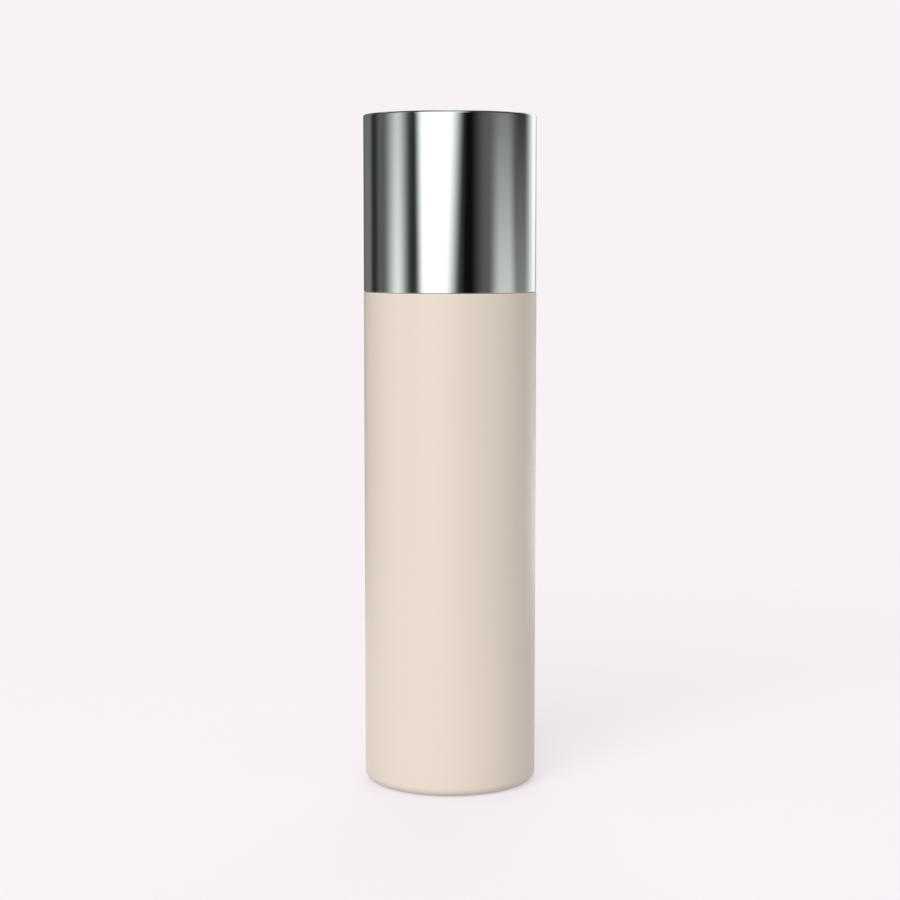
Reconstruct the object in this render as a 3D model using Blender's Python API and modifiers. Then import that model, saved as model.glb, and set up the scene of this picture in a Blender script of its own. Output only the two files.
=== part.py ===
"""Slim round lotion bottle with a screw-on treatment pump under a full-width overcap.

The body is a double-wall bottle: a moulded outer shell, an inner bottle that holds the lotion,
and a shoulder ring that closes the shell and carries the overcap. The pump is a 24 mm screw
closure with a sprung piston pump, a dip tube, and a swivelling push head with a short spout.

Units are metres and +Z is up. The origin is the centre of the base, and the spout points to -Y.
Every joint's axis is the bottle's own axis. Radii grow outwards from the neck to the overcap, and
heights follow from the body's height, so a change to one piece moves the pieces that fit it.
"""

import math

import bmesh
import bpy
from mathutils import Matrix, Vector

# Fits
FIT = 0.0003
ROUND_ERROR = 0.00008
MERGE = 0.00001
SHARP_ANGLE = math.radians(30)

# Outer shell
BODY_H = 0.1148
SHELL_WALL = 0.0016
SHELL_FLOOR = 0.0020
BASE_ROUND = 0.0020
FOOT_W = 0.0020
FOOT_H = 0.0008
FOOT_SLOPE = 0.0006
RIM_BEVEL = 0.00015
SHELL_CORNER = 0.0012

# Inner bottle
BOTTLE_CLEARANCE = 0.0005
BOTTLE_WALL = 0.0010
BOTTLE_FLOOR = 0.0013
BOTTLE_ROUND = 0.0025
PUSH_UP = 0.0006
PUSH_UP_W = 0.0030
SHOULDER_ANGLE = math.radians(29)
SHOULDER_LEDGE = 0.0016
SHOULDER_ROUND = 0.0020
LAND_RISE = 0.0012
NECK_R = 0.0109
NECK_WALL = 0.0018
NECK_H = 0.0165
NECK_ROUND = 0.0006
THREAD_DEPTH = 0.0011
THREAD_LEAD = 0.003175
THREAD_TURNS = 1.5

# Screw closure and its sleeve
GASKET_T = 0.0008
GASKET_INSET = 0.0002
CLOSURE_WALL = 0.0010
CLOSURE_TOP_T = 0.0012
SKIRT_CLEARANCE = 0.0015
SLEEVE_WALL = 0.0005
SLEEVE_ROUND = 0.0008
HEAD_PLAY = 0.0005
HEAD_OVERLAP = 0.0023

# Shoulder ring
RING_CLEARANCE = 0.0005
MOAT = 0.0015
SPIGOT_WALL = 0.00105
SPIGOT_H = 0.0057
SNAP_BEAD = 0.0003
SNAP_HALF = 0.0006
SNAP_HEIGHT = 0.0037
DECK_T = 0.0015
PLUG_DEPTH = 0.0083
PLUG_WALL = 0.0010
PLUG_BEAD = 0.00015
PLUG_BEAD_HALF = 0.0005
PLUG_BEAD_DROP = 0.0045
PLUG_LEAD = 0.0004

# Overcap
LINER_BEAD = 0.0002
LINER_BEAD_DROP = 0.0014
LINER_WALL = 0.00095
LINER_TOP_T = 0.0013
LINER_FLANGE_T = 0.0010
LINER_RIB = 0.0006
LINER_RIB_W = 0.0010
LINER_RIBS = 8
LINER_LEAD = 0.0003
CAP_WALL = 0.0007
CAP_TOP_T = 0.0008
CAP_ROUND = 0.0005
CAP_LIP = 0.0001
HEADROOM = 0.00244

# Pump housing and dip tube
FLANGE_T = 0.0012
FLANGE_LIP = 0.0005
NECK_PLUG_H = 0.0025
NECK_PLUG_WALL = 0.0009
CHAMBER_R = 0.0045
CHAMBER_DEPTH = 0.0301
HOUSING_WALL = 0.0012
CONE_DROP = 0.0009
CONE_SLOPE = 1.4
VENT_R = 0.0004
VENT_DROP = 0.0060
TUBE_R = 0.0025
TUBE_WALL = 0.0008
TUBE_FOOT_GAP = 0.0011
TUBE_CUT = math.radians(30)
TUBE_SPARE = 0.0010
SOCKET_DEPTH = 0.0070
SOCKET_LEAD = 0.0003
NOSE_WALL = 0.0008

# Inlet valve
BALL_R = 0.00175
BALL_PLAY = 0.00035
BALL_LIFT = 0.0009
BALL_DETAIL = 3
SEAT_HOLE_R = 0.0012
SEAT_NECK = 0.0014
LIP_GRIP = 0.0002
LIP_LAND = 0.0007
LIP_CHAMFER = 0.0005
LIP_NOTCHES = 4
LIP_NOTCH_W = 0.0006
LIP_NOTCH_BITE = 0.0002

# Chaplet
CHAPLET_T = 0.0010
CHAPLET_LIP = 0.0035
CHAPLET_PLUG = 0.0054
CHAPLET_LEAD = 0.0004
BOSS_R = 0.0060
BOSS_PROUD = 0.0012

# Stem, piston, poppet and spring
STROKE = 0.0060
LOST_MOTION = 0.0008
STEM_R = 0.0029
STEM_BORE = 0.0016
STEM_TAIL_R = 0.0022
STEM_STOP_T = 0.0010
STEM_STOP_PLAY = 0.0005
STEM_FOOT_GAP = 0.0008
STEM_CHAMFER = 0.0003
PISTON_H = 0.0050
PISTON_SLEEVE_WALL = 0.0006
PISTON_LIP_T = 0.00035
PISTON_LIP_LAND = 0.0004
PISTON_LIP_H = 0.0013
PISTON_WAIST = 0.0006
POPPET_HEAD_T = 0.0019
POPPET_PLAY = 0.0006
POPPET_SEAT = 0.0006
POPPET_GUIDE_H = 0.0018
POPPET_GUIDE_PLAY = 0.0005
SHANK_H = 0.0120
SHANK_POINT = 0.0008
FLUTES = 4
FLUTE_W = 0.0006
FLUTE_DEPTH = 0.0006
WIRE_R = 0.00035
SPRING_PLAY = 0.00065
SPRING_TURNS = 7
SPRING_END_GAP = 0.00045
SPRING_STEPS = 10

# Push head
HEAD_R = 0.0096
HEAD_H = 0.0178
HEAD_SKIN = 0.0005
HEAD_ROUND = 0.0012
DISH = 0.0008
DISH_RIM = 0.0004
DISH_STEPS = 4
CORE_INSET = 0.0003
CORE_WALL = 0.0010
CORE_TOP_T = 0.0013
CORE_ROUND = 0.0008
COLUMN_WALL = 0.0012
SOCKET_GRIP = 0.0041
RISER_R = 0.0016
CORE_RIB_W = 0.0008
CORE_RIBS = 3

# Spout
SPOUT_R = 0.0029
SPOUT_TIP_R = 0.0020
SPOUT_PLUG_R = 0.0021
SPOUT_SEAT = 0.0034
SPOUT_BORE = 0.0012
SPOUT_DROP = 0.0028
SPOUT_CLEARANCE = 0.0020
SPOUT_BOSS_WALL = 0.0010
SPOUT_BEND = math.radians(30)
SPOUT_BEND_R = 0.0080
SPOUT_BEND_STEPS = 5
SPOUT_SIDES = 16

# Radii, from the neck outwards
NECK_BORE = NECK_R - NECK_WALL
CLOSURE_BORE = NECK_R + THREAD_DEPTH + FIT
CLOSURE_R = CLOSURE_BORE + CLOSURE_WALL
SLEEVE_BORE = CLOSURE_R + FIT
SLEEVE_R = SLEEVE_BORE + SLEEVE_WALL
RING_BORE = SLEEVE_R + RING_CLEARANCE
SPIGOT_BORE = SLEEVE_R + MOAT
SPIGOT_R = SPIGOT_BORE + SPIGOT_WALL
SPIGOT_BEAD_R = SPIGOT_R + SNAP_BEAD
LINER_BEAD_R = SPIGOT_BEAD_R + FIT
LINER_BORE = LINER_BEAD_R + LINER_BEAD
LINER_R = LINER_BORE + LINER_WALL
LINER_RIB_R = LINER_R + LINER_RIB
CAP_BORE = LINER_RIB_R + FIT
BODY_R = CAP_BORE + CAP_WALL
SHELL_BORE = BODY_R - SHELL_WALL
PLUG_R = SHELL_BORE - FIT
PLUG_BEAD_R = PLUG_R + PLUG_BEAD
BOTTLE_R = SHELL_BORE - BOTTLE_CLEARANCE
SHOULDER_R = NECK_R + SHOULDER_LEDGE

# Radii of the pump
FLANGE_R = NECK_R + FLANGE_LIP
NECK_PLUG_R = NECK_BORE - FIT
HOUSING_R = CHAMBER_R + HOUSING_WALL
CHAPLET_PLUG_R = CHAMBER_R - FIT
CHAPLET_BORE = STEM_R + FIT
CHAPLET_R = BOSS_R + CHAPLET_LIP
CLOSURE_HOLE = BOSS_R + FIT
STEM_STOP_R = CHAMBER_R - STEM_STOP_PLAY
PISTON_R = CHAMBER_R - FIT
PISTON_BORE = STEM_TAIL_R + FIT
POPPET_R = CHAMBER_R - POPPET_PLAY
SHANK_R = STEM_BORE - FIT
SPRING_R = CHAMBER_R - SPRING_PLAY - WIRE_R
THROAT_R = BALL_R + BALL_PLAY
LIP_R = BALL_R - LIP_GRIP
TUBE_BORE = TUBE_R - TUBE_WALL
SOCKET_R = TUBE_R + FIT
NOSE_R = SOCKET_R + NOSE_WALL
HEAD_BORE = HEAD_R - HEAD_SKIN
CORE_R = HEAD_BORE - FIT
CHIMNEY_BORE = HEAD_R + HEAD_PLAY
CHIMNEY_R = CHIMNEY_BORE + SLEEVE_WALL
STEM_SOCKET_R = STEM_R + FIT
COLUMN_R = STEM_SOCKET_R + COLUMN_WALL
SPOUT_SOCKET_R = SPOUT_PLUG_R + FIT
SPOUT_REACH = LINER_BEAD_R - SPOUT_CLEARANCE

# Heights of the bottle, from the base up
SHELL_FLOOR_TOP = FOOT_H + SHELL_FLOOR
BOTTLE_BASE = SHELL_FLOOR_TOP + FIT
BOTTLE_FLOOR_TOP = BOTTLE_BASE + PUSH_UP + BOTTLE_FLOOR
LAND = BODY_H + LAND_RISE
SHOULDER_TOP = LAND - NECK_H
GASKET_Z = LAND + FIT
FLANGE_Z = GASKET_Z + GASKET_T + FIT
FLANGE_TOP = FLANGE_Z + FLANGE_T
CHAPLET_Z = FLANGE_TOP + FIT
CHAPLET_TOP = CHAPLET_Z + CHAPLET_T
PLATE_Z = CHAPLET_TOP + FIT
PLATE_TOP = PLATE_Z + CLOSURE_TOP_T
STEP_Z = PLATE_TOP + FIT
STEP_TOP = STEP_Z + SLEEVE_WALL
SKIRT_FOOT = SHOULDER_TOP + SKIRT_CLEARANCE
SNAP_Z = BODY_H + SNAP_HEIGHT
PLUG_BEAD_Z = BODY_H - PLUG_BEAD_DROP

# Heights of the head and the overcap
HEAD_FOOT = PLATE_TOP + FIT + STROKE
HEAD_TOP = HEAD_FOOT + HEAD_H
CHIMNEY_TOP = HEAD_FOOT + HEAD_OVERLAP
CORE_FOOT = HEAD_FOOT + CORE_INSET
CORE_TOP = HEAD_TOP - DISH - HEAD_SKIN - FIT
CORE_CEILING = CORE_TOP - CORE_TOP_T
BOSS_TOP = PLATE_TOP + BOSS_PROUD
COLUMN_FOOT = BOSS_TOP + FIT + STROKE
STEM_TOP = COLUMN_FOOT + SOCKET_GRIP
SPOUT_Z = CORE_CEILING - SPOUT_DROP
CAP_FOOT = BODY_H + FIT
LINER_CEILING = HEAD_TOP + THREAD_LEAD * THREAD_TURNS + HEADROOM
LINER_TOP = LINER_CEILING + LINER_TOP_T
CAP_CEILING = LINER_TOP + FIT
CAP_TOP = CAP_CEILING + CAP_TOP_T
LINER_BEAD_Z = SNAP_Z - LINER_BEAD_DROP

# Heights in the pump, from the top down
PLUG_FOOT = CHAPLET_Z - CHAPLET_PLUG
STOP_TOP = PLUG_FOOT - FIT
STOP_Z = STOP_TOP - STEM_STOP_T
PISTON_TOP = STOP_Z - FIT - LOST_MOTION
PISTON_FOOT = PISTON_TOP - PISTON_H
POPPET_TOP = PISTON_FOOT - FIT
POPPET_FOOT = POPPET_TOP - POPPET_HEAD_T
STEM_FOOT = POPPET_TOP + STEM_FOOT_GAP
LEDGE_Z = FLANGE_TOP - CHAMBER_DEPTH
SPRING_TOP = POPPET_FOOT - FIT
SPRING_FOOT = LEDGE_Z + FIT
LIP_TOP = LEDGE_Z - LIP_CHAMFER
LIP_FOOT = LIP_TOP - LIP_LAND
BALL_Z = LIP_FOOT - math.sqrt((BALL_R + FIT) ** 2 - LIP_R**2) - BALL_LIFT
SEAT_APEX = BALL_Z - (BALL_R + FIT) * math.sqrt(2)
SOCKET_STOP = SEAT_APEX + SEAT_HOLE_R - SEAT_NECK
NOSE_FOOT = SOCKET_STOP - SOCKET_DEPTH
CONE_TOP = LEDGE_Z - CONE_DROP
CONE_FOOT = CONE_TOP - (HOUSING_R - NOSE_R) * CONE_SLOPE
TUBE_TOP = SOCKET_STOP - FIT
TUBE_FOOT = BOTTLE_FLOOR_TOP + TUBE_FOOT_GAP
VENT_Z = FLANGE_TOP - VENT_DROP


def clear_scene():
    for obj in list(bpy.data.objects):
        bpy.data.objects.remove(obj)


def new_collection(name):
    collection = bpy.data.collections.new(name)
    bpy.context.scene.collection.children.link(collection)
    return collection


def plain_material(name, colour, roughness, metallic=0.0):
    material = bpy.data.materials.new(name)
    material.use_nodes = True
    shader = material.node_tree.nodes["Principled BSDF"]
    shader.inputs["Base Color"].default_value = (*colour, 1.0)
    shader.inputs["Roughness"].default_value = roughness
    shader.inputs["Metallic"].default_value = metallic
    return material


def pivot(name, height, parent=None):
    """An empty on the bottle's axis that carries one group of parts, at the height where it moves."""
    empty = bpy.data.objects.new(name, None)
    empty.empty_display_type = "SINGLE_ARROW"
    empty.empty_display_size = BODY_R / 2
    PARTS.objects.link(empty)
    empty.parent = parent
    base = parent.matrix_world.translation.z if parent else 0
    empty.location.z = height - base
    bpy.context.view_layer.update()
    return empty


def place(name, data, carrier, material):
    """A part from a mesh or curve that was modelled in place, hung on its carrier."""
    data.transform(carrier.matrix_world.inverted())
    data.materials.clear()
    data.materials.append(material)
    obj = bpy.data.objects.new(name, data)
    obj.parent = carrier
    PARTS.objects.link(obj)
    return obj


def combine(obj, name, mesh, operation):
    """Joins a part with another shape, or cuts it, and keeps that shape as a wire guide."""
    mesh.transform(obj.parent.matrix_world.inverted())
    guide = bpy.data.objects.new(name, mesh)
    guide.parent = obj.parent
    guide.hide_render = True
    guide.display_type = "WIRE"
    GUIDES.objects.link(guide)
    change = obj.modifiers.new(name, "BOOLEAN")
    change.operation = operation
    change.solver = "EXACT"
    change.object = guide


def smooth(mesh):
    """Smooth shading with sharp edges kept."""
    mesh.shade_smooth()
    mesh.set_sharp_from_angle(angle=SHARP_ANGLE)


def evaluated_mesh(obj):
    graph = bpy.context.evaluated_depsgraph_get()
    return bpy.data.meshes.new_from_object(obj.evaluated_get(graph))


def mesh_from(bm, name):
    mesh = bpy.data.meshes.new(name)
    bm.to_mesh(mesh)
    bm.free()
    return mesh


def chords(radius, sweep):
    """How many chords keep an arc within ROUND_ERROR of its true curve."""
    step = 2 * math.acos(1 - ROUND_ERROR / radius)
    return max(1, math.ceil(sweep / step))


def arc(before, spot, after, radius):
    """Points of the arc that rounds a corner between its two neighbours."""
    back = (before - spot).normalized()
    ahead = (after - spot).normalized()
    half = back.angle(ahead) / 2
    centre = spot + (back + ahead).normalized() * radius / math.sin(half)
    start = spot + back * radius / math.tan(half) - centre
    end = spot + ahead * radius / math.tan(half) - centre
    first = math.atan2(start.y, start.x)
    sweep = (math.atan2(end.y, end.x) - first + math.pi) % math.tau - math.pi
    steps = chords(radius, abs(sweep))
    angles = [first + sweep * step / steps for step in range(steps + 1)]
    return [centre + radius * Vector((math.cos(angle), math.sin(angle))) for angle in angles]


def rounded(corners):
    """An outline's points, with an arc at each corner that gives a third value, its radius."""
    spots = [Vector(corner[:2]) for corner in corners]
    points = []
    for index, corner in enumerate(corners):
        if len(corner) == 2:
            points.append(spots[index])
        else:
            after = spots[(index + 1) % len(spots)]
            points.extend(arc(spots[index - 1], spots[index], after, corner[2]))
    return points


def turned(name, corners, carrier, material):
    """A part turned about the axis. Its outline runs down the outer side, as (radius, height) corners.

    An outline that starts on the axis also ends there, and any other one closes on itself.
    """
    points = rounded(corners)
    edges = [(index, index + 1) for index in range(len(points) - 1)]
    if corners[0][0] > 0:
        edges.append((len(points) - 1, 0))
    outline = bpy.data.meshes.new(name)
    outline.from_pydata([(point.x, 0, point.y) for point in points], edges, [])
    obj = place(name, outline, carrier, material)
    turn = obj.modifiers.new("Turn", "SCREW")
    turn.steps = 4 * chords(max(point.x for point in points), math.pi / 2)
    turn.render_steps = turn.steps
    turn.use_merge_vertices = True
    turn.merge_threshold = MERGE
    obj.data = evaluated_mesh(obj)
    obj.modifiers.clear()
    bpy.data.meshes.remove(outline)
    obj.data.name = name
    smooth(obj.data)
    return obj


def rod(start, end, radius):
    """A round bar between two points."""
    along = Vector(end) - Vector(start)
    turn = along.to_track_quat("Z", "Y").to_matrix().to_4x4()
    middle = Matrix.Translation((Vector(start) + Vector(end)) / 2)
    bm = bmesh.new()
    bmesh.ops.create_cone(
        bm,
        cap_ends=True,
        segments=4 * chords(radius, math.pi / 2),
        radius1=radius,
        radius2=radius,
        depth=along.length,
        matrix=middle @ turn,
    )
    return mesh_from(bm, "rod")


def bars(count, inner, outer, width, low, high, first=0):
    """Equal upright bars that stand around the axis, from one radius to another."""
    middle = Matrix.Translation(((inner + outer) / 2, 0, (low + high) / 2))
    size = Matrix.Diagonal((outer - inner, width, high - low, 1))
    bm = bmesh.new()
    for index in range(count):
        turn = Matrix.Rotation(first + math.tau * index / count, 4, "Z")
        bmesh.ops.create_cube(bm, size=1, matrix=turn @ middle @ size)
    return mesh_from(bm, "bars")


def line_curve(name, path, radii, depth, resolution):
    """A curve of straight stretches with a round section, whose radii multiply its depth."""
    curve = bpy.data.curves.new(name, "CURVE")
    curve.dimensions = "3D"
    curve.bevel_depth = depth
    curve.bevel_resolution = resolution
    curve.use_fill_caps = True
    line = curve.splines.new("POLY")
    line.points.add(len(path) - 1)
    for point, spot, radius in zip(line.points, path, radii):
        point.co = (*spot, 1)
        point.radius = radius
    return curve


def tube(path, radii, sides):
    """A solid tube along a path, with a radius at each point, as a closed mesh."""
    source = bpy.data.objects.new("tube", line_curve("tube", path, radii, 1, sides // 2 - 2))
    GUIDES.objects.link(source)
    bm = bmesh.new()
    bm.from_mesh(evaluated_mesh(source))
    bmesh.ops.remove_doubles(bm, verts=bm.verts, dist=MERGE)
    bpy.data.objects.remove(source)
    return mesh_from(bm, "tube")


def shoulder_height(radius):
    """Height of the inner bottle's sloping shoulder, outside."""
    return SHOULDER_TOP - (radius - SHOULDER_R) * math.tan(SHOULDER_ANGLE)


def outer_shell(carrier):
    groove = PLUG_BEAD_HALF + FIT
    groove_r = PLUG_BEAD_R + FIT
    foot_inner = BODY_R - BASE_ROUND - FOOT_W
    corners = [
        (0, SHELL_FLOOR_TOP),
        (SHELL_BORE, SHELL_FLOOR_TOP, SHELL_CORNER),
        (SHELL_BORE, PLUG_BEAD_Z - groove),
        (groove_r, PLUG_BEAD_Z - PLUG_BEAD_HALF),
        (groove_r, PLUG_BEAD_Z + PLUG_BEAD_HALF),
        (SHELL_BORE, PLUG_BEAD_Z + groove),
        (SHELL_BORE, BODY_H - RIM_BEVEL),
        (SHELL_BORE + RIM_BEVEL, BODY_H),
        (BODY_R - RIM_BEVEL, BODY_H),
        (BODY_R, BODY_H - RIM_BEVEL),
        (BODY_R, 0, BASE_ROUND),
        (foot_inner, 0),
        (foot_inner - FOOT_SLOPE, FOOT_H),
        (0, FOOT_H),
    ]
    return turned("outer_shell", corners, carrier, BEIGE_PLASTIC)


def inner_bottle(carrier):
    bore = BOTTLE_R - BOTTLE_WALL
    drop = BOTTLE_WALL / math.cos(SHOULDER_ANGLE)
    stand = BOTTLE_R - BOTTLE_ROUND - PUSH_UP_W
    corners = [
        (0, BOTTLE_FLOOR_TOP),
        (stand, BOTTLE_FLOOR_TOP),
        (bore, BOTTLE_BASE + BOTTLE_FLOOR, BOTTLE_ROUND - BOTTLE_WALL),
        (bore, shoulder_height(bore) - drop, SHOULDER_ROUND - BOTTLE_WALL),
        (NECK_BORE, shoulder_height(NECK_BORE) - drop),
        (NECK_BORE, LAND),
        (NECK_R, LAND),
        (NECK_R, SHOULDER_TOP, NECK_ROUND),
        (SHOULDER_R, SHOULDER_TOP),
        (BOTTLE_R, shoulder_height(BOTTLE_R), SHOULDER_ROUND),
        (BOTTLE_R, BOTTLE_BASE, BOTTLE_ROUND),
        (stand + PUSH_UP, BOTTLE_BASE),
        (stand, BOTTLE_BASE + PUSH_UP),
        (0, BOTTLE_BASE + PUSH_UP),
    ]
    return turned("inner_bottle", corners, carrier, NATURAL_PLASTIC)


def shoulder_ring(carrier):
    seat_gap = FIT / math.cos(SHOULDER_ANGLE)
    plug_bore = PLUG_R - PLUG_WALL
    plug_foot = BODY_H - PLUG_DEPTH
    deck_foot = BODY_H - DECK_T
    spigot_top = BODY_H + SPIGOT_H
    corners = [
        (SPIGOT_R - SNAP_BEAD, spigot_top),
        (SPIGOT_R, spigot_top - SNAP_BEAD),
        (SPIGOT_R, SNAP_Z + SNAP_HALF),
        (SPIGOT_BEAD_R, SNAP_Z),
        (SPIGOT_R, SNAP_Z - SNAP_HALF),
        (SPIGOT_R, BODY_H),
        (PLUG_R - RIM_BEVEL, BODY_H),
        (PLUG_R, BODY_H - RIM_BEVEL),
        (PLUG_R, PLUG_BEAD_Z + PLUG_BEAD_HALF),
        (PLUG_BEAD_R, PLUG_BEAD_Z),
        (PLUG_R, PLUG_BEAD_Z - PLUG_BEAD_HALF),
        (PLUG_R, plug_foot + PLUG_LEAD),
        (PLUG_R - PLUG_LEAD, plug_foot),
        (plug_bore, plug_foot),
        (plug_bore, deck_foot),
        (SPIGOT_BORE, deck_foot),
        (SPIGOT_BORE, shoulder_height(SPIGOT_BORE) + seat_gap),
        (RING_BORE, shoulder_height(RING_BORE) + seat_gap),
        (RING_BORE, BODY_H),
        (SPIGOT_BORE, BODY_H),
        (SPIGOT_BORE, spigot_top),
    ]
    return turned("shoulder_ring", corners, carrier, BRIGHT_PLATING)


def overcap_shell(carrier):
    corners = [
        (0, CAP_TOP),
        (BODY_R, CAP_TOP, CAP_ROUND),
        (BODY_R, CAP_FOOT + CAP_LIP),
        (BODY_R - CAP_LIP, CAP_FOOT),
        (CAP_BORE, CAP_FOOT),
        (CAP_BORE, CAP_CEILING, FIT),
        (0, CAP_CEILING),
    ]
    return turned("overcap_shell", corners, carrier, BRIGHT_ALUMINIUM)


def overcap_liner(carrier):
    flange_top = CAP_FOOT + LINER_FLANGE_T
    corners = [
        (0, LINER_TOP),
        (LINER_R, LINER_TOP, FIT),
        (LINER_R, flange_top),
        (LINER_RIB_R, flange_top),
        (LINER_RIB_R, CAP_FOOT),
        (LINER_BORE + LINER_LEAD, CAP_FOOT),
        (LINER_BORE, CAP_FOOT + LINER_LEAD),
        (LINER_BORE, LINER_BEAD_Z - SNAP_HALF),
        (LINER_BEAD_R, LINER_BEAD_Z),
        (LINER_BORE, LINER_BEAD_Z + SNAP_HALF),
        (LINER_BORE, LINER_CEILING),
        (0, LINER_CEILING),
    ]
    liner = turned("overcap_liner", corners, carrier, WHITE_PLASTIC)
    root = LINER_R - LINER_WALL / 2
    foot = flange_top - LINER_FLANGE_T / 2
    ribs = bars(LINER_RIBS, root, LINER_RIB_R, LINER_RIB_W, foot, LINER_CEILING)
    combine(liner, "liner_ribs", ribs, "UNION")
    return liner


def neck_gasket(carrier):
    bore = NECK_BORE + GASKET_INSET
    top = GASKET_Z + GASKET_T
    corners = [(FLANGE_R, top), (FLANGE_R, GASKET_Z), (bore, GASKET_Z), (bore, top)]
    return turned("neck_gasket", corners, carrier, WHITE_FOAM)


def pump_housing(carrier):
    neck_plug_foot = FLANGE_Z - NECK_PLUG_H
    corners = [
        (FLANGE_R, FLANGE_TOP),
        (FLANGE_R, FLANGE_Z),
        (NECK_PLUG_R, FLANGE_Z),
        (NECK_PLUG_R, neck_plug_foot),
        (NECK_PLUG_R - NECK_PLUG_WALL, neck_plug_foot),
        (NECK_PLUG_R - NECK_PLUG_WALL, FLANGE_Z),
        (HOUSING_R, FLANGE_Z),
        (HOUSING_R, CONE_TOP),
        (NOSE_R, CONE_FOOT),
        (NOSE_R, NOSE_FOOT),
        (SOCKET_R + SOCKET_LEAD, NOSE_FOOT),
        (SOCKET_R, NOSE_FOOT + SOCKET_LEAD),
        (SOCKET_R, SOCKET_STOP),
        (SEAT_HOLE_R, SOCKET_STOP),
        (SEAT_HOLE_R, SEAT_APEX + SEAT_HOLE_R),
        (THROAT_R, SEAT_APEX + THROAT_R),
        (THROAT_R, LIP_FOOT),
        (LIP_R, LIP_FOOT),
        (LIP_R, LIP_TOP),
        (LIP_R + LIP_CHAMFER, LEDGE_Z),
        (CHAMBER_R, LEDGE_Z),
        (CHAMBER_R, FLANGE_TOP),
    ]
    housing = turned("pump_housing", corners, carrier, NATURAL_PLASTIC)
    bite = THROAT_R + LIP_NOTCH_BITE
    low = LIP_FOOT - LIP_NOTCH_BITE
    high = LEDGE_Z + LIP_NOTCH_BITE
    notches = bars(LIP_NOTCHES, LIP_R / 2, bite, LIP_NOTCH_W, low, high)
    combine(housing, "cage_notches", notches, "DIFFERENCE")
    vent = rod((CHAMBER_R - HOUSING_WALL, 0, VENT_Z), (HOUSING_R + HOUSING_WALL, 0, VENT_Z), VENT_R)
    combine(housing, "vent_drill", vent, "DIFFERENCE")
    return housing


def chaplet(carrier):
    corners = [
        (BOSS_R, BOSS_TOP),
        (BOSS_R, CHAPLET_TOP),
        (CHAPLET_R, CHAPLET_TOP),
        (CHAPLET_R, CHAPLET_Z),
        (CHAPLET_PLUG_R, CHAPLET_Z),
        (CHAPLET_PLUG_R, PLUG_FOOT),
        (CHAPLET_BORE, PLUG_FOOT),
        (CHAPLET_BORE, BOSS_TOP - CHAPLET_LEAD),
        (CHAPLET_BORE + CHAPLET_LEAD, BOSS_TOP),
    ]
    return turned("chaplet", corners, carrier, WHITE_PLASTIC)


def dip_tube(carrier):
    end = TUBE_FOOT - TUBE_SPARE
    corners = [(TUBE_R, TUBE_TOP), (TUBE_R, end), (TUBE_BORE, end), (TUBE_BORE, TUBE_TOP)]
    pipe = turned("dip_tube", corners, carrier, NATURAL_PLASTIC)
    reach = 2 * TUBE_R + TUBE_SPARE
    middle = Matrix.Translation((0, 0, TUBE_FOOT + TUBE_R * math.tan(TUBE_CUT)))
    slant = Matrix.Rotation(-TUBE_CUT, 4, "X")
    bm = bmesh.new()
    bmesh.ops.create_cube(bm, size=2 * reach, matrix=middle @ slant @ Matrix.Translation((0, 0, -reach)))
    combine(pipe, "tube_cut", mesh_from(bm, "tube_cut"), "DIFFERENCE")
    return pipe


def inlet_ball(carrier):
    bm = bmesh.new()
    middle = Matrix.Translation((0, 0, BALL_Z))
    bmesh.ops.create_icosphere(bm, subdivisions=BALL_DETAIL, radius=BALL_R, matrix=middle)
    mesh = mesh_from(bm, "inlet_ball")
    smooth(mesh)
    return place("inlet_ball", mesh, carrier, BRIGHT_STEEL)


def spring_path():
    """Points along the spring: an open dead turn at each end, with straight wire ends."""
    end_pitch = 2 * WIRE_R + SPRING_END_GAP
    first = SPRING_FOOT + WIRE_R
    last = SPRING_TOP - WIRE_R
    pitch = (last - first - 2 * end_pitch) / SPRING_TURNS
    points = []
    for index in range((SPRING_TURNS + 2) * SPRING_STEPS + 1):
        turn = index / SPRING_STEPS
        coiled = min(max(turn - 1, 0), SPRING_TURNS)
        height = first + pitch * coiled + end_pitch * (turn - coiled)
        angle = math.tau * turn
        points.append(Vector((SPRING_R * math.cos(angle), SPRING_R * math.sin(angle), height)))
    tail = Vector((0, 2 * WIRE_R, 0))
    return [points[0] - tail, *points, points[-1] + tail]


def least_gap(points):
    """The spring's smallest clear distance to itself, between points over half a turn apart."""
    apart = SPRING_STEPS // 2
    pairs = ((i, j) for i in range(len(points)) for j in range(i + apart, len(points)))
    return min((points[i] - points[j]).length for i, j in pairs) - 2 * WIRE_R


def return_spring(carrier):
    path = spring_path()
    print(f"return_spring: least gap to itself {least_gap(path) * 1000:.2f} mm")
    curve = line_curve("return_spring", path, [1] * len(path), WIRE_R, 1)
    return place("return_spring", curve, carrier, BRIGHT_STEEL)


def poppet(carrier):
    guide_r = SPRING_R - WIRE_R - POPPET_GUIDE_PLAY
    shank_top = POPPET_TOP + SHANK_H
    corners = [
        (0, shank_top),
        (SHANK_R - FLUTE_DEPTH / 2, shank_top),
        (SHANK_R, shank_top - SHANK_POINT),
        (SHANK_R, POPPET_TOP),
        (POPPET_R - POPPET_SEAT, POPPET_TOP),
        (POPPET_R, POPPET_TOP - POPPET_SEAT),
        (POPPET_R, POPPET_FOOT),
        (guide_r, POPPET_FOOT),
        (guide_r, POPPET_FOOT - POPPET_GUIDE_H),
        (0, POPPET_FOOT - POPPET_GUIDE_H),
    ]
    valve = turned("poppet", corners, carrier, WHITE_PLASTIC)
    floor = SHANK_R - FLUTE_DEPTH
    flutes = bars(FLUTES, floor, 2 * SHANK_R, FLUTE_W, POPPET_TOP - FIT, shank_top + FIT)
    combine(valve, "shank_flutes", flutes, "DIFFERENCE")
    return valve


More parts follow.
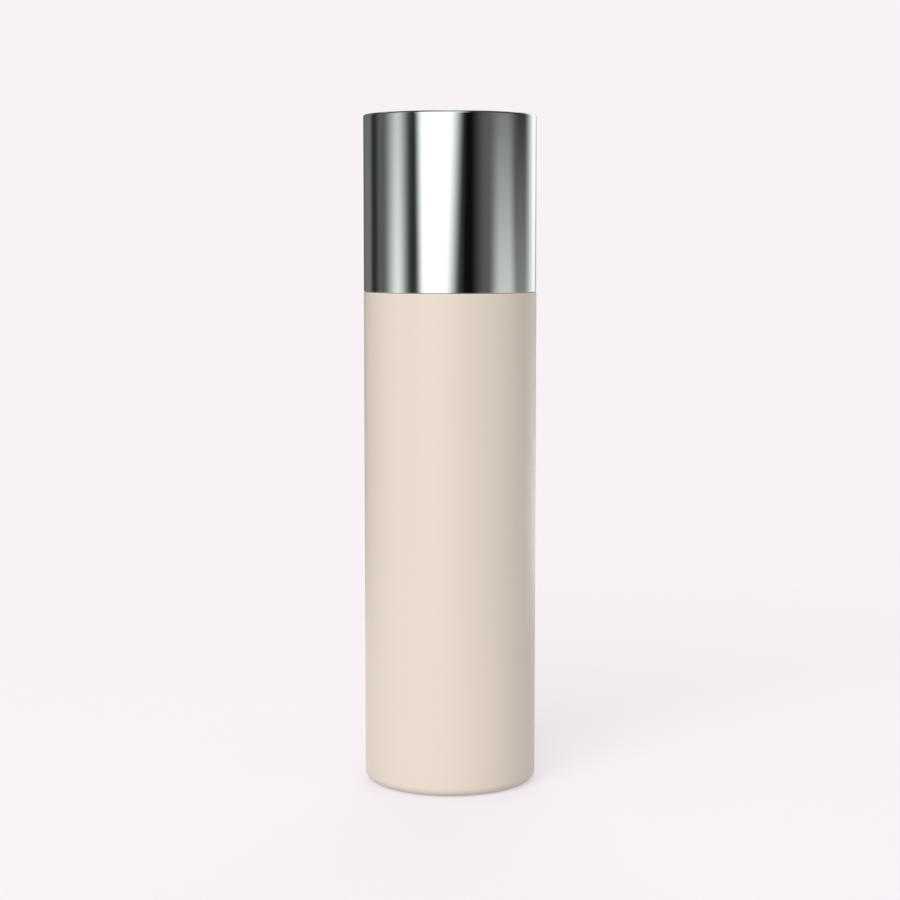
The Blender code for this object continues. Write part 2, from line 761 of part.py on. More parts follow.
def piston(carrier):
    sleeve_r = PISTON_BORE + PISTON_SLEEVE_WALL
    lip_bore = PISTON_R - PISTON_LIP_T
    waist_r = PISTON_R - PISTON_WAIST
    corners = [
        (PISTON_R, PISTON_TOP),
        (PISTON_R, PISTON_TOP - PISTON_LIP_LAND),
        (waist_r, PISTON_TOP - PISTON_LIP_H),
        (waist_r, PISTON_FOOT + PISTON_LIP_H),
        (PISTON_R, PISTON_FOOT + PISTON_LIP_LAND),
        (PISTON_R, PISTON_FOOT),
        (lip_bore, PISTON_FOOT),
        (sleeve_r, PISTON_FOOT + PISTON_LIP_H),
        (sleeve_r, PISTON_FOOT),
        (PISTON_BORE, PISTON_FOOT),
        (PISTON_BORE, PISTON_TOP),
        (sleeve_r, PISTON_TOP),
        (sleeve_r, PISTON_TOP - PISTON_LIP_H),
        (lip_bore, PISTON_TOP),
    ]
    return turned("piston", corners, carrier, WHITE_PLASTIC)


def stem(carrier):
    corners = [
        (STEM_R - STEM_CHAMFER, STEM_TOP),
        (STEM_R, STEM_TOP - STEM_CHAMFER),
        (STEM_R, STOP_TOP),
        (STEM_STOP_R, STOP_TOP),
        (STEM_STOP_R, STOP_Z),
        (STEM_TAIL_R, STOP_Z),
        (STEM_TAIL_R, STEM_FOOT),
        (STEM_BORE, STEM_FOOT),
        (STEM_BORE, STEM_TOP),
    ]
    return turned("stem", corners, carrier, WHITE_PLASTIC)


def screw_closure(carrier):
    corners = [
        (CLOSURE_R, PLATE_TOP, FIT),
        (CLOSURE_R, SKIRT_FOOT),
        (CLOSURE_BORE, SKIRT_FOOT),
        (CLOSURE_BORE, PLATE_Z),
        (CLOSURE_HOLE, PLATE_Z),
        (CLOSURE_HOLE, PLATE_TOP),
    ]
    return turned("screw_closure", corners, carrier, WHITE_PLASTIC)


def collar_sleeve(carrier):
    corners = [
        (CHIMNEY_R, CHIMNEY_TOP, SLEEVE_WALL / 2),
        (CHIMNEY_R, STEP_TOP),
        (SLEEVE_R, STEP_TOP, SLEEVE_ROUND),
        (SLEEVE_R, SKIRT_FOOT),
        (SLEEVE_BORE, SKIRT_FOOT),
        (SLEEVE_BORE, STEP_Z, SLEEVE_ROUND - SLEEVE_WALL),
        (CHIMNEY_BORE, STEP_Z),
        (CHIMNEY_BORE, CHIMNEY_TOP),
    ]
    return turned("collar_sleeve", corners, carrier, BRIGHT_ALUMINIUM)


def actuator(carrier):
    core_bore = CORE_R - CORE_WALL
    corners = [
        (0, CORE_TOP),
        (CORE_R, CORE_TOP, CORE_ROUND),
        (CORE_R, CORE_FOOT),
        (core_bore, CORE_FOOT),
        (core_bore, CORE_CEILING),
        (COLUMN_R, CORE_CEILING),
        (COLUMN_R, COLUMN_FOOT),
        (STEM_SOCKET_R, COLUMN_FOOT),
        (STEM_SOCKET_R, STEM_TOP + FIT),
        (RISER_R, STEM_TOP + FIT),
        (RISER_R, SPOUT_Z),
        (0, SPOUT_Z),
    ]
    core = turned("actuator", corners, carrier, WHITE_PLASTIC)
    column_middle = COLUMN_R - COLUMN_WALL / 2
    wall_middle = CORE_R - CORE_WALL / 2
    top = CORE_CEILING + CORE_TOP_T / 2
    ribs = bars(CORE_RIBS, column_middle, wall_middle, CORE_RIB_W, SPOUT_Z, top, first=math.pi / 2)
    combine(core, "core_ribs", ribs, "UNION")
    boss_r = SPOUT_SOCKET_R + SPOUT_BOSS_WALL
    boss_end = math.sqrt(CORE_R**2 - boss_r**2) - FIT / 2
    combine(core, "spout_boss", rod((0, -column_middle, SPOUT_Z), (0, -boss_end, SPOUT_Z), boss_r), "UNION")
    socket_end = CORE_R - SPOUT_SEAT
    socket = rod((0, -socket_end, SPOUT_Z), (0, -CORE_R - CORE_WALL, SPOUT_Z), SPOUT_SOCKET_R)
    combine(core, "spout_socket", socket, "DIFFERENCE")
    channel = rod((0, 0, SPOUT_Z), (0, -CORE_R, SPOUT_Z), SPOUT_BORE)
    combine(core, "cross_channel", channel, "DIFFERENCE")
    return core


def actuator_shell(carrier):
    dish_r = HEAD_R - HEAD_ROUND - DISH_RIM
    shares = [step / DISH_STEPS for step in range(DISH_STEPS + 1)]
    dish = [(dish_r * share, HEAD_TOP - DISH * (1 - share**2)) for share in shares]
    corners = [
        *dish,
        (HEAD_R, HEAD_TOP, HEAD_ROUND),
        (HEAD_R, HEAD_FOOT),
        (HEAD_BORE, HEAD_FOOT),
        (HEAD_BORE, HEAD_TOP - HEAD_SKIN, HEAD_ROUND - HEAD_SKIN),
        *[(radius, height - HEAD_SKIN) for radius, height in reversed(dish)],
    ]
    skin = turned("actuator_shell", corners, carrier, BRIGHT_ALUMINIUM)
    hole = rod((0, 0, SPOUT_Z), (0, -2 * HEAD_R, SPOUT_Z), SPOUT_R + FIT)
    combine(skin, "spout_hole", hole, "DIFFERENCE")
    return skin


def spout(carrier):
    plug_end = CORE_R - SPOUT_SEAT + FIT
    shoulder = CORE_R + FIT
    bend_start = SPOUT_REACH - (SPOUT_BEND_R + SPOUT_TIP_R) * math.sin(SPOUT_BEND)
    path = [(0, -plug_end, SPOUT_Z), (0, -CORE_R, SPOUT_Z), (0, -shoulder, SPOUT_Z)]
    radii = [SPOUT_PLUG_R, SPOUT_PLUG_R, SPOUT_R]
    for step in range(SPOUT_BEND_STEPS + 1):
        share = step / SPOUT_BEND_STEPS
        angle = SPOUT_BEND * share
        out = bend_start + SPOUT_BEND_R * math.sin(angle)
        path.append((0, -out, SPOUT_Z - SPOUT_BEND_R * (1 - math.cos(angle))))
        radii.append(SPOUT_R + (SPOUT_TIP_R - SPOUT_R) * share)
    mesh = tube(path, radii, SPOUT_SIDES)
    smooth(mesh)
    nozzle = place("spout", mesh, carrier, WHITE_PLASTIC)
    past_plug = (0, -plug_end + SPOUT_BORE, SPOUT_Z)
    past_tip = (0, -SPOUT_REACH - SPOUT_BORE, path[-1][2] - SPOUT_BORE * math.tan(SPOUT_BEND))
    bore_path = [past_plug, *path[2:], past_tip]
    bore = tube(bore_path, [SPOUT_BORE] * len(bore_path), SPOUT_SIDES // 2)
    combine(nozzle, "spout_bore", bore, "DIFFERENCE")
    return nozzle


clear_scene()
PARTS = new_collection("pump_bottle")
GUIDES = new_collection("guides")

BEIGE_PLASTIC = plain_material("beige_plastic", (0.82, 0.71, 0.61), 0.42)
BRIGHT_ALUMINIUM = plain_material("bright_aluminium", (0.92, 0.92, 0.93), 0.05, 1)
BRIGHT_PLATING = plain_material("bright_plating", (0.88, 0.88, 0.89), 0.07, 1)
BRIGHT_STEEL = plain_material("bright_steel", (0.75, 0.75, 0.76), 0.18, 1)
WHITE_PLASTIC = plain_material("white_plastic", (0.86, 0.86, 0.85), 0.38)
NATURAL_PLASTIC = plain_material("natural_plastic", (0.80, 0.81, 0.80), 0.45)
WHITE_FOAM = plain_material("white_foam", (0.88, 0.88, 0.86), 0.80)

bottle = pivot("bottle", 0)
overcap = pivot("overcap", CAP_FOOT, bottle)
pump_unit = pivot("pump_unit", FLANGE_Z, bottle)
closure = pivot("closure", SKIRT_FOOT, pump_unit)
plunger = pivot("plunger", POPPET_FOOT, pump_unit)
piston_slide = pivot("piston_slide", PISTON_FOOT, plunger)
head = pivot("head", HEAD_FOOT, plunger)
ball_seat = pivot("ball_seat", BALL_Z, pump_unit)

for build in (outer_shell, inner_bottle, shoulder_ring):
    build(bottle)
for build in (overcap_shell, overcap_liner):
    build(overcap)
for build in (pump_housing, chaplet, neck_gasket, dip_tube, return_spring):
    build(pump_unit)
for build in (screw_closure, collar_sleeve):
    build(closure)
for build in (stem, poppet):
    build(plunger)
piston(piston_slide)
for build in (actuator, actuator_shell, spout):
    build(head)
inlet_ball(ball_seat)
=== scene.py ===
"""Looks for the pump bottle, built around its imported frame.

Each moulded or drawn piece replaces its faceted solid with a smooth one of the same outline, with
its small edge rounds, ribs, threads and marks. Materials are procedural. The studio is a pale
floor and a banded surround that only reflections show.

The pieces' sizes and heights above the base are in millimetres, and the studio's are in metres.
An outline is a list of (radius, height) corners with an optional round, down the outer side.
"""

import math
from typing import NamedTuple

import bmesh
import bpy
from mathutils import Matrix, Vector


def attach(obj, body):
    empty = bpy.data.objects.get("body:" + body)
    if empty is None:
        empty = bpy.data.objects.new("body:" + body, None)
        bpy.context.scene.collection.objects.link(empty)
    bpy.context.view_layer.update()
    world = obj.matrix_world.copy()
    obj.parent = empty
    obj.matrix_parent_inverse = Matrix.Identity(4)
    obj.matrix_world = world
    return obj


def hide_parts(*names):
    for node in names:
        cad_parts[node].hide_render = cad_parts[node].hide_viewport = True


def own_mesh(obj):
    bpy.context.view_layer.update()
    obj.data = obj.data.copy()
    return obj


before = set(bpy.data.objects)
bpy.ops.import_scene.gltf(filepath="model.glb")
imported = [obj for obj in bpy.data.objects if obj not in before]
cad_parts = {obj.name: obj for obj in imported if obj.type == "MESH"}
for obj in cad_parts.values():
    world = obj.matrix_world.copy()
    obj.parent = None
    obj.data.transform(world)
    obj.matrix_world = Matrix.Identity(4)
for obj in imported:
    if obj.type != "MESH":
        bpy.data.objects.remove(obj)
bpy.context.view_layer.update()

MM = 0.001

# How finely the pieces are drawn
SEGMENTS = 144
ARC_STEP = math.radians(15)
ARC_STEPS_LEAST = 3
ARC_SUPPORT = 0.02
SHARP_ANGLE = math.radians(32)
TUBE_SIDES = 32
ROD_SIDES = 48
WIRE_SIDES = 14
THREAD_STEPS = 72
SPRING_STEPS = 36
SPOUT_STEPS = 16
BORE_STEP = 0.25
DISH_STEPS = 12
BALL_SEGMENTS = 48
BALL_RINGS = 24

# Gaps between faces that are pressed, glued or screwed together, and between those that only seat
PRESSED = 0.04
SEATED = 0.06

# Edge round at the foot of a bead or groove
RIDGE_ROUND = 0.2

# How far a joined rib starts inside its wall, and a cut runs on past the face that it opens
OVERLAP = 0.5

# Body shell
BODY_R = 20.0
SHELL_BORE = 18.4
SHELL_FLOOR = 2.8
SHELL_TOP = 114.68
FOOT_R = 16.0
FOOT_SLOPE = 0.6
RECESS_TOP = 0.8
GATE_R = 2.0
GATE_SLOPE = 0.2
GATE_PROUD = 0.2
DIMPLE_R = 0.5
DIMPLE_SLOPE = 0.1
DIMPLE_DEPTH = 0.1
GROOVE_Z = 110.3
GROOVE_R = 18.55

# Inner bottle
BOTTLE_R = 17.9
BOTTLE_WALL = 1.0
BOTTLE_BASE = SHELL_FLOOR + SEATED
PUSH_UP_R = 12.4
PUSH_UP_SLOPE = 0.6
PUSH_UP_TOP = 3.7
BOTTLE_FLOOR = 5.0
BOTTLE_FLOOR_EDGE = 4.4
NECK_R = 10.9
NECK_BORE = 9.1
NECK_TOP = 116.0
SHOULDER_R = 12.5
SHOULDER_TOP = 99.5
SHOULDER_ANGLE = math.radians(29)
TRANSFER_R = 11.8
TRANSFER_Z = 102.5

# Shoulder ring
SPIGOT_R = 16.65
SPIGOT_BORE = 15.6
SPIGOT_TOP = 120.5
SNAP_Z = 118.5
SNAP_R = 16.95
SNAP_HALF = 0.6
DECK_TOP = 114.7
DECK_FOOT = 113.3
PLUG_R = SHELL_BORE - PRESSED
PLUG_BORE = 17.1
PLUG_FOOT = 106.5
PLUG_BEAD_R = 18.5
RING_BORE = 14.6
RING_TOP = 114.8
RING_FOOT_OUTSIDE = 97.86
RING_FOOT_INSIDE = 98.41

# Screw closure and its collar
CLOSURE_R = 13.3
CLOSURE_BORE = 12.3
CLOSURE_FOOT = 101.0
CLOSURE_HOLE = 6.3
PLATE_FOOT = 120.2
STEP_FOOT = 121.7
STEP_TOP = 122.2
PLATE_TOP = STEP_FOOT - SEATED
COLLAR_R = 14.1
COLLAR_BORE = 13.6
CHIMNEY_R = 10.6
CHIMNEY_BORE = 10.1
CHIMNEY_TOP = 130.0
GRIP_RIBS = 60
GRIP_RIB_W = 0.5
GRIP_RIB_FOOT = 102.5
GRIP_RIB_TOP = 119.5

# Pump housing, chaplet, gasket and dip tube
FLANGE_R = 11.4
FLANGE_FOOT = 117.4
CHAPLET_FOOT = 118.9
FLANGE_TOP = CHAPLET_FOOT - PRESSED
NECK_PLUG_R = 9.05
NECK_PLUG_BORE = 7.9
NECK_PLUG_FOOT = 114.9
HOUSING_R = 5.7
CHAMBER_R = 4.5
LEDGE_TOP = 88.76
LEDGE_R = 2.05
CONE_TOP = 87.6
CONE_SLOPE = 1.4
NOSE_R = 3.6
VENT_R = 0.4
VENT_Z = 112.6
CHAPLET_R = 9.5
CHAPLET_TOP = PLATE_FOOT - PRESSED
BOSS_R = 6.2
BOSS_TOP = 122.6
GUIDE_R = CHAMBER_R - PRESSED
GUIDE_BORE = 3.02
GUIDE_FOOT = 113.25
GASKET_BORE = 9.3
GASKET_ROUND = 0.12
TUBE_R = 2.5
TUBE_BORE = 1.7
TUBE_TOP = 81.9
TUBE_TIP = 6.1
TUBE_SPARE = 1.0
TUBE_CUT = math.radians(30)
TUBE_SOCKET_R = TUBE_R + SEATED

# Inlet valve: the seat's cone is at 45 degrees. As in the CAD, the ball stays BALL_FIT clear of
# the seat at rest and of the cage's lip when it has lifted.
BALL_R = 1.75
BALL_FIT = 0.3
BALL_LIFT = 0.9
CAGE_R = 2.1
CAGE_NOTCHES = 4
CAGE_NOTCH_R = 2.3
CAGE_NOTCH_W = 0.6
CAGE_NOTCH_FOOT = 87.1
CAGE_LIP_R = 1.55
CAGE_LIP_TOP = 88.0
CAGE_LIP_FOOT = 87.3
SEAT_HOLE_R = 1.2
SEAT_NECK = 1.4
SOCKET_DEPTH = 7.0
BALL_REST_R = BALL_R + BALL_FIT
BALL_Z = CAGE_LIP_FOOT - math.sqrt(BALL_REST_R ** 2 - CAGE_LIP_R ** 2) - BALL_LIFT
SEAT_APEX = BALL_Z - BALL_REST_R * math.sqrt(2)
SOCKET_STOP = SEAT_APEX + SEAT_HOLE_R - SEAT_NECK
NOSE_FOOT = SOCKET_STOP - SOCKET_DEPTH

# Stem, poppet, piston and spring
STEM_R = 2.9
STEM_BORE = 1.6
STEM_TOP = 133.25
STEM_FOOT = 106.6
STEM_TAIL_R = 2.2
STOP_R = 4.0
STOP_TOP = 113.2
STOP_FOOT = 112.2
SHANK_R = STEM_BORE - PRESSED
SHANK_TOP = 117.8
SHANK_TIP_R = 1.2
SHANK_POINT = 0.8
FLUTES = 4
FLUTE_R = 0.7
FLUTE_END_R = 2.6
FLUTE_W = 0.6
FLUTE_FOOT = 105.5
POPPET_R = 3.9
POPPET_SEAT_R = 3.3
POPPET_TOP = 105.8
POPPET_FOOT = 103.64
POPPET_GUIDE_R = 2.65
POPPET_GUIDE_FOOT = 102.1
PISTON_R = CHAMBER_R - SEATED
PISTON_BORE = 2.5
PISTON_SLEEVE_R = 3.1
PISTON_SLEEVE_FOOT = POPPET_TOP + SEATED
PISTON_WAIST_R = 3.6
PISTON_TOP = 111.1
PISTON_FOOT = 106.1
PISTON_LIP_LAND = 0.4
PISTON_LIP_H = 1.4
PISTON_LIP_HOLLOW = 1.3
PISTON_LIP_BORE = 4.12
PISTON_LIP_ROUND = 0.08
SPRING_R = 3.5
SPRING_FOOT = 88.8
SPRING_TOP = 103.6
SPRING_TURNS = 7
WIRE_R = 0.35
END_PITCH = 1.15

# Push head
HEAD_R = 9.6
HEAD_BORE = 9.1
HEAD_FOOT = 127.7
HEAD_TOP = 145.5
HEAD_SKIN = 0.5
DISH_R = 8.0
DISH_DEPTH = 0.8
DISH_RIM = 2.0
CORE_R = HEAD_BORE - SEATED
CORE_BORE = 7.8
CORE_FOOT = 128.0
CORE_TOP = 144.1
CORE_CEILING = 142.6
CORE_RIBS = 3
CORE_RIB_W = 0.8
COLUMN_R = 4.4
COLUMN_FOOT = 128.9
STEM_SOCKET_R = STEM_R + SEATED
STEM_SOCKET_TOP = 133.3
RISER_R = 1.6
RISER_TOP = 141.3

# Spout: lengths are along its middle line from the bottle's axis, and a chamfer or an end round is
# a list of (distance from where it starts or ends, how much smaller the radius is there)
SPOUT_Z = 139.8
SPOUT_BEND_START = 10.25
SPOUT_BEND_R = 8.0
SPOUT_BEND = math.radians(30)
SPOUT_END = SPOUT_BEND_START + SPOUT_BEND_R * SPOUT_BEND
SPOUT_PLUG_START = 5.45
SPOUT_PLUG_R = 2.35
SPOUT_PLUG_CHAMFER = ((0.0, 0.25), (0.1, 0.07), (0.25, 0.0))
SPOUT_SHOULDER = 9.1
SPOUT_SHOULDER_ROUND = ((0.02, 0.12), (0.1, 0.02))
SPOUT_BARREL_START = 0.2
SPOUT_BARREL_END = 0.3
SPOUT_ROOT_R = 2.9
SPOUT_TIP_R = 2.0
SPOUT_TAPER = 1.2
SPOUT_TIP_ROUND = ((0.15, 0.04), (0.05, 0.13), (0.0, 0.3))
SPOUT_BORE_R = 1.2
SPOUT_BORE_START = 4.9
SPOUT_CHANNEL_END = 8.0
SPOUT_MOUTH = ((-0.1, 1.25), (0.5, 1.6))
SPOUT_HOLE_R = 3.0
SPOUT_BOSS_R = 3.4
SPOUT_BOSS_START = 3.8
SPOUT_BOSS_END = 7.97
SPOUT_SOCKET_R = 2.4
SPOUT_SOCKET_START = 5.4

# Overcap: its headroom lets the pump be unscrewed under it
THREAD_LEAD = 3.175
THREAD_TURNS = 1.5
HEADROOM = 2.44
CAP_BORE = 19.3
CAP_FOOT = 114.78
CAP_WALL_ROUND = 0.04
CAP_TOP_WALL = 0.8
SLEEVE_R = 18.4
SLEEVE_BORE = 17.45
SLEEVE_FOOT = CAP_FOOT + PRESSED
SLEEVE_FLANGE_R = CAP_BORE - PRESSED
SLEEVE_FLANGE_TOP = 116.1
SLEEVE_BEAD_R = 17.25
SLEEVE_BEAD_Z = 117.1
SLEEVE_CEILING = HEAD_TOP + THREAD_LEAD * THREAD_TURNS + HEADROOM
SLEEVE_TOP_WALL = 1.5475
SLEEVE_TOP_SPACE = 1.6
SLEEVE_TOP = SLEEVE_CEILING + SLEEVE_TOP_WALL
SLEEVE_GATE_R = 1.2
SLEEVE_GATE_PROUD = 0.2525
SLEEVE_RIBS = 8
SLEEVE_RIB_W = 1.0
CAP_CEILING = SLEEVE_CEILING + SLEEVE_TOP_SPACE
CAP_TOP = CAP_CEILING + CAP_TOP_WALL


class Thread(NamedTuple):
    """A screw thread's helical ridge."""

    root: float
    crest: float
    low: float  # height of the ridge's middle where it starts
    turns: float
    half_root: float  # half its width at the root
    half_crest: float


# A ridge's flanks run on into the wall by THREAD_BITE, so that it crosses the wall's surface
# cleanly. Over the first and last THREAD_FADE of a turn it rises from a share of its height.
THREAD_BITE = 0.25
THREAD_FADE = 1 / 8
THREAD_START = 0.15
NECK_THREAD = Thread(NECK_R, 12.0, 107.6, THREAD_TURNS, 1.05, 0.4)
CLOSURE_THREAD = Thread(CLOSURE_BORE, 11.2, 106.01, 1.25, 0.75, 0.3)


# Mesh tools


def arc(before, spot, after, radius):
    """Points of the arc that rounds a corner, with one more on each straight side close by.

    The extra points keep the straight sides' shading flat.
    """
    back = (before - spot).normalized()
    ahead = (after - spot).normalized()
    half = back.angle(ahead) / 2
    centre = spot + (back + ahead).normalized() * radius / math.sin(half)
    start = spot + back * radius / math.tan(half)
    end = spot + ahead * radius / math.tan(half)
    first = math.atan2(start.y - centre.y, start.x - centre.x)
    last = math.atan2(end.y - centre.y, end.x - centre.x)
    sweep = (last - first + math.pi) % math.tau - math.pi
    steps = max(ARC_STEPS_LEAST, math.ceil(abs(sweep) / ARC_STEP))
    angles = [first + sweep * step / steps for step in range(steps + 1)]
    bend = [centre + radius * Vector((math.cos(angle), math.sin(angle))) for angle in angles]
    return [start + back * ARC_SUPPORT, *bend, end + ahead * ARC_SUPPORT]


def rounded(corners):
    """An outline's points, with an arc at each corner that gives a third value, its radius."""
    spots = [Vector(corner[:2]) for corner in corners]
    points = []
    for index, corner in enumerate(corners):
        if len(corner) == 2:
            points.append(spots[index])
        else:
            after = spots[(index + 1) % len(spots)]
            points.extend(arc(spots[index - 1], spots[index], after, corner[2]))
    return points


def smooth(mesh):
    mesh.shade_smooth()
    mesh.set_sharp_from_angle(angle=SHARP_ANGLE)


def mesh_from(bm, name):
    """A closed mesh from loose bmesh work, with its normals outwards."""
    bmesh.ops.recalc_face_normals(bm, faces=bm.faces)
    mesh = bpy.data.meshes.new(name)
    bm.to_mesh(mesh)
    bm.free()
    return mesh


def add_piece(name, data):
    obj = bpy.data.objects.new(name, data)
    bpy.context.scene.collection.objects.link(obj)
    return obj


def turned_mesh(name, corners):
    """A solid of revolution about the axis from an outline that closes on itself or on the axis."""
    points = rounded(corners)
    turns = [math.tau * index / SEGMENTS for index in range(SEGMENTS)]
    bm = bmesh.new()
    rings = []
    for radius, height in points:
        if radius == 0:
            rings.append([bm.verts.new((0, 0, height * MM))] * SEGMENTS)
        else:
            spots = [(radius * math.cos(turn), radius * math.sin(turn), height) for turn in turns]
            rings.append([bm.verts.new(Vector(spot) * MM) for spot in spots])
    if points[0].x > 0:
        rings.append(rings[0])
    for upper, lower in zip(rings, rings[1:]):
        for index in range(SEGMENTS):
            after = (index + 1) % SEGMENTS
            loop = [upper[index], upper[after], lower[after], lower[index]]
            bm.faces.new(list(dict.fromkeys(loop)))
    return mesh_from(bm, name)


def turned(name, corners):
    piece = add_piece(name, turned_mesh(name, corners))
    smooth(piece.data)
    return piece


def combine(piece, mesh, operation):
    """Joins a piece with another closed mesh, or cuts it, for good."""
    tool = add_piece("tool", mesh)
    change = piece.modifiers.new(operation, "BOOLEAN")
    change.operation = operation
    change.solver = "EXACT"
    change.object = tool
    graph = bpy.context.evaluated_depsgraph_get()
    result = bpy.data.meshes.new_from_object(piece.evaluated_get(graph))
    piece.modifiers.clear()
    piece.data = result
    bpy.data.objects.remove(tool)
    smooth(piece.data)


def bars(count, inner, outer, width, low, high, first=0.0):
    """Equal upright bars around the axis, from one radius to another."""
    middle = Matrix.Translation(Vector(((inner + outer) / 2, 0, (low + high) / 2)) * MM)
    size = Matrix.Diagonal(((outer - inner) * MM, width * MM, (high - low) * MM, 1))
    bm = bmesh.new()
    for index in range(count):
        turn = Matrix.Rotation(first + math.tau * index / count, 4, "Z")
        bmesh.ops.create_cube(bm, size=1, matrix=turn @ middle @ size)
    return mesh_from(bm, "bars")


def swept_mesh(sections):
    """A closed solid through a list of rings of points."""
    bm = bmesh.new()
    rings = [[bm.verts.new(point * MM) for point in section] for section in sections]
    sides = len(rings[0])
    for near, far in zip(rings, rings[1:]):
        for index in range(sides):
            after = (index + 1) % sides
            bm.faces.new((near[index], near[after], far[after], far[index]))
    bm.faces.new(rings[0])
    bm.faces.new(rings[-1])
    return mesh_from(bm, "swept")


def tube_mesh(path, radii, sides=TUBE_SIDES):
    """A round tube along a path in one upright plane or a helix."""
    turns = [math.tau * step / sides for step in range(sides)]
    sections = []
    for index, spot in enumerate(path):
        before = path[max(index - 1, 0)]
        after = path[min(index + 1, len(path) - 1)]
        along = (after - before).normalized()
        side = along.cross(Vector((0, 0, 1))).normalized()
        up = side.cross(along)
        ring = [spot + radii[index] * (side * math.cos(t) + up * math.sin(t)) for t in turns]
        sections.append(ring)
    return swept_mesh(sections)


def thread_mesh(thread):
    """A thread's ridge, as a closed solid."""
    steps = math.ceil(thread.turns * THREAD_STEPS)
    fade_steps = THREAD_STEPS * THREAD_FADE
    depth = thread.crest - thread.root
    inside = thread.root - math.copysign(THREAD_BITE, depth)
    spread = (thread.half_root - thread.half_crest) / abs(depth)
    half_inside = thread.half_root + spread * THREAD_BITE
    sections = []
    for step in range(steps + 1):
        angle = math.tau * step / THREAD_STEPS
        middle = thread.low + THREAD_LEAD * step / THREAD_STEPS
        share = min(1.0, step / fade_steps, (steps - step) / fade_steps)
        risen = THREAD_START + (1 - THREAD_START) * math.sin(share * math.pi / 2)
        top = thread.root + depth * risen
        outward = Vector((math.cos(angle), math.sin(angle), 0))
        profile = [
            (inside, -half_inside),
            (top, -thread.half_crest),
            (top, thread.half_crest),
            (inside, half_inside),
        ]
        sections.append([outward * radius + Vector((0, 0, middle + up)) for radius, up in profile])
    return swept_mesh(sections)


def rod(start, end, radius):
    """A round bar between two points."""
    along = Vector(end) - Vector(start)
    turn = along.to_track_quat("Z", "Y").to_matrix().to_4x4()
    middle = Matrix.Translation((Vector(start) + Vector(end)) / 2 * MM)
    bm = bmesh.new()
    bmesh.ops.create_cone(
        bm,
        cap_ends=True,
        segments=ROD_SIDES,
        radius1=radius * MM,
        radius2=radius * MM,
        depth=along.length * MM,
        matrix=middle @ turn,
    )
    return mesh_from(bm, "rod")


def spout_rod(near, far, radius):
    """A round bar that points as the spout does, between two distances from the axis."""
    return rod((0, -near, SPOUT_Z), (0, -far, SPOUT_Z), radius)


def slanted_block(foot, radius, slant):
    """A block whose upper face slants through a tube's foot."""
    reach = 4 * radius
    middle = Matrix.Translation((0, 0, (foot + radius * math.tan(slant)) * MM))
    drop = Matrix.Translation((0, 0, -reach * MM))
    bm = bmesh.new()
    matrix = middle @ Matrix.Rotation(-slant, 4, "X") @ drop
    bmesh.ops.create_cube(bm, size=2 * reach * MM, matrix=matrix)
    return mesh_from(bm, "block")


# Studio

# Camera, from the photograph's perspective
CAMERA_SPOT = (-0.00003, -0.47927, 0.128)
CAMERA_PITCH = math.radians(5.99)
CAMERA_LENS = 82.48


class Panel(NamedTuple):
    """A soft-edged upright panel of the reflected studio, by azimuth to the right of the camera."""

    rise: tuple  # azimuths where it starts and is full
    fall: tuple  # azimuths where it starts to end and has ended
    low: float  # brightness at the lower elevation
    high: float  # brightness at the upper elevation
    span: tuple = (-4.0, 5.5)  # the two elevations
    lean: tuple = (0.0, 0.0)  # how far its edges lean, in azimuth for each degree of elevation


PANELS = {
    "key_softbox": Panel((-47.3, -33.8), (-6.3, 15.0), 1.15, 1.15, lean=(-0.4, 1.4)),
    "key_spill": Panel((-52.5, -43.5), (9.8, 22.8), 0.05, 0.05, lean=(0.0, 0.7)),
    "left_card": Panel((-100, -67), (-77, -53.5), 0.92, 0.55),
    "left_wall": Panel((-180, -172), (-66, -43), 0.11, 0.11),
    "left_return": Panel((-166, -148), (-136, -126), 0.07, 0.05),
    "right_wall": Panel((25, 50), (88, 104), 0.11, 0.11),
    "right_return": Panel((88, 104), (164, 180), 0.27, 0.01),
    "right_card": Panel((51, 71), (82.6, 100.6), 0.60, 0.03, lean=(0.0, -1.3)),
    "backdrop_right": Panel((114, 150), (181, 190), 0.74, 1.18),
    "backdrop_left": Panel((-200, -190), (-180, -166), 0.74, 1.18),
    "table": Panel((-200, -190), (190, 200), 0.30, 0.0, span=(-9.0, -2.5)),
    "right_table": Panel((96, 126), (150, 180), 0.85, 0.0, span=(-7.0, -2.0)),
}
DARK_PANELS = {
    "left_flag": Panel((-132, -122), (-118, -106), 0.08, 0.08),
    "right_stand": Panel((152, 159), (164, 171), 0.6, 0.6),
}
LEAN_LIMIT = 12.0
DARKEST = 0.004

# The reflected studio above its panels. Each pair is two elevations in degrees, but REAR_SIDE's
# is two shares of the way straight back, and the rear sky sets in between them.
PANEL_FADE = (14.0, 46.0)
PANEL_FADE_LEAST = 0.22
CEILING_RISE = (60.0, 86.0)
CEILING_LEVEL = 0.5
REAR_SIDE = (0.3, 0.5)
REAR_RISE = (29.0, 42.0)
REAR_FALL = (46.0, 64.0)
REAR_LEVEL = 0.42

BACKDROP = (0.939, 0.887, 0.930)
GLOSS_TINT = (0.95, 1.0, 0.98)
AMBIENT_TINT = (1.0, 0.99, 0.98)
AMBIENT = 0.46

# Soft lamps: azimuth and elevation in degrees, distance and size in metres, power in watts
LAMPS = {
    "key_lamp": (-22, 32, 3.2, 2.8, 72.5),
    "top_lamp": (0, 88, 2.4, 1.8, 11.0),
    "back_lamp": (174, 34, 3.2, 2.8, 28.0),
}
LAMP_AIM = (0, 0, 0.08)

# Floor: its lift shows in full to the camera and in reflections, and a share of it lights the part
FLOOR_R = 0.6
FLOOR_SEGMENTS = 96
FLOOR_DROP = 0.00005
FLOOR_FADE = (0.16, 0.42)
FLOOR_COLOUR = (0.408, 0.387, 0.404)
FLOOR_LIFT = (0.508, 0.477, 0.506)
FLOOR_BOUNCE = 0.30


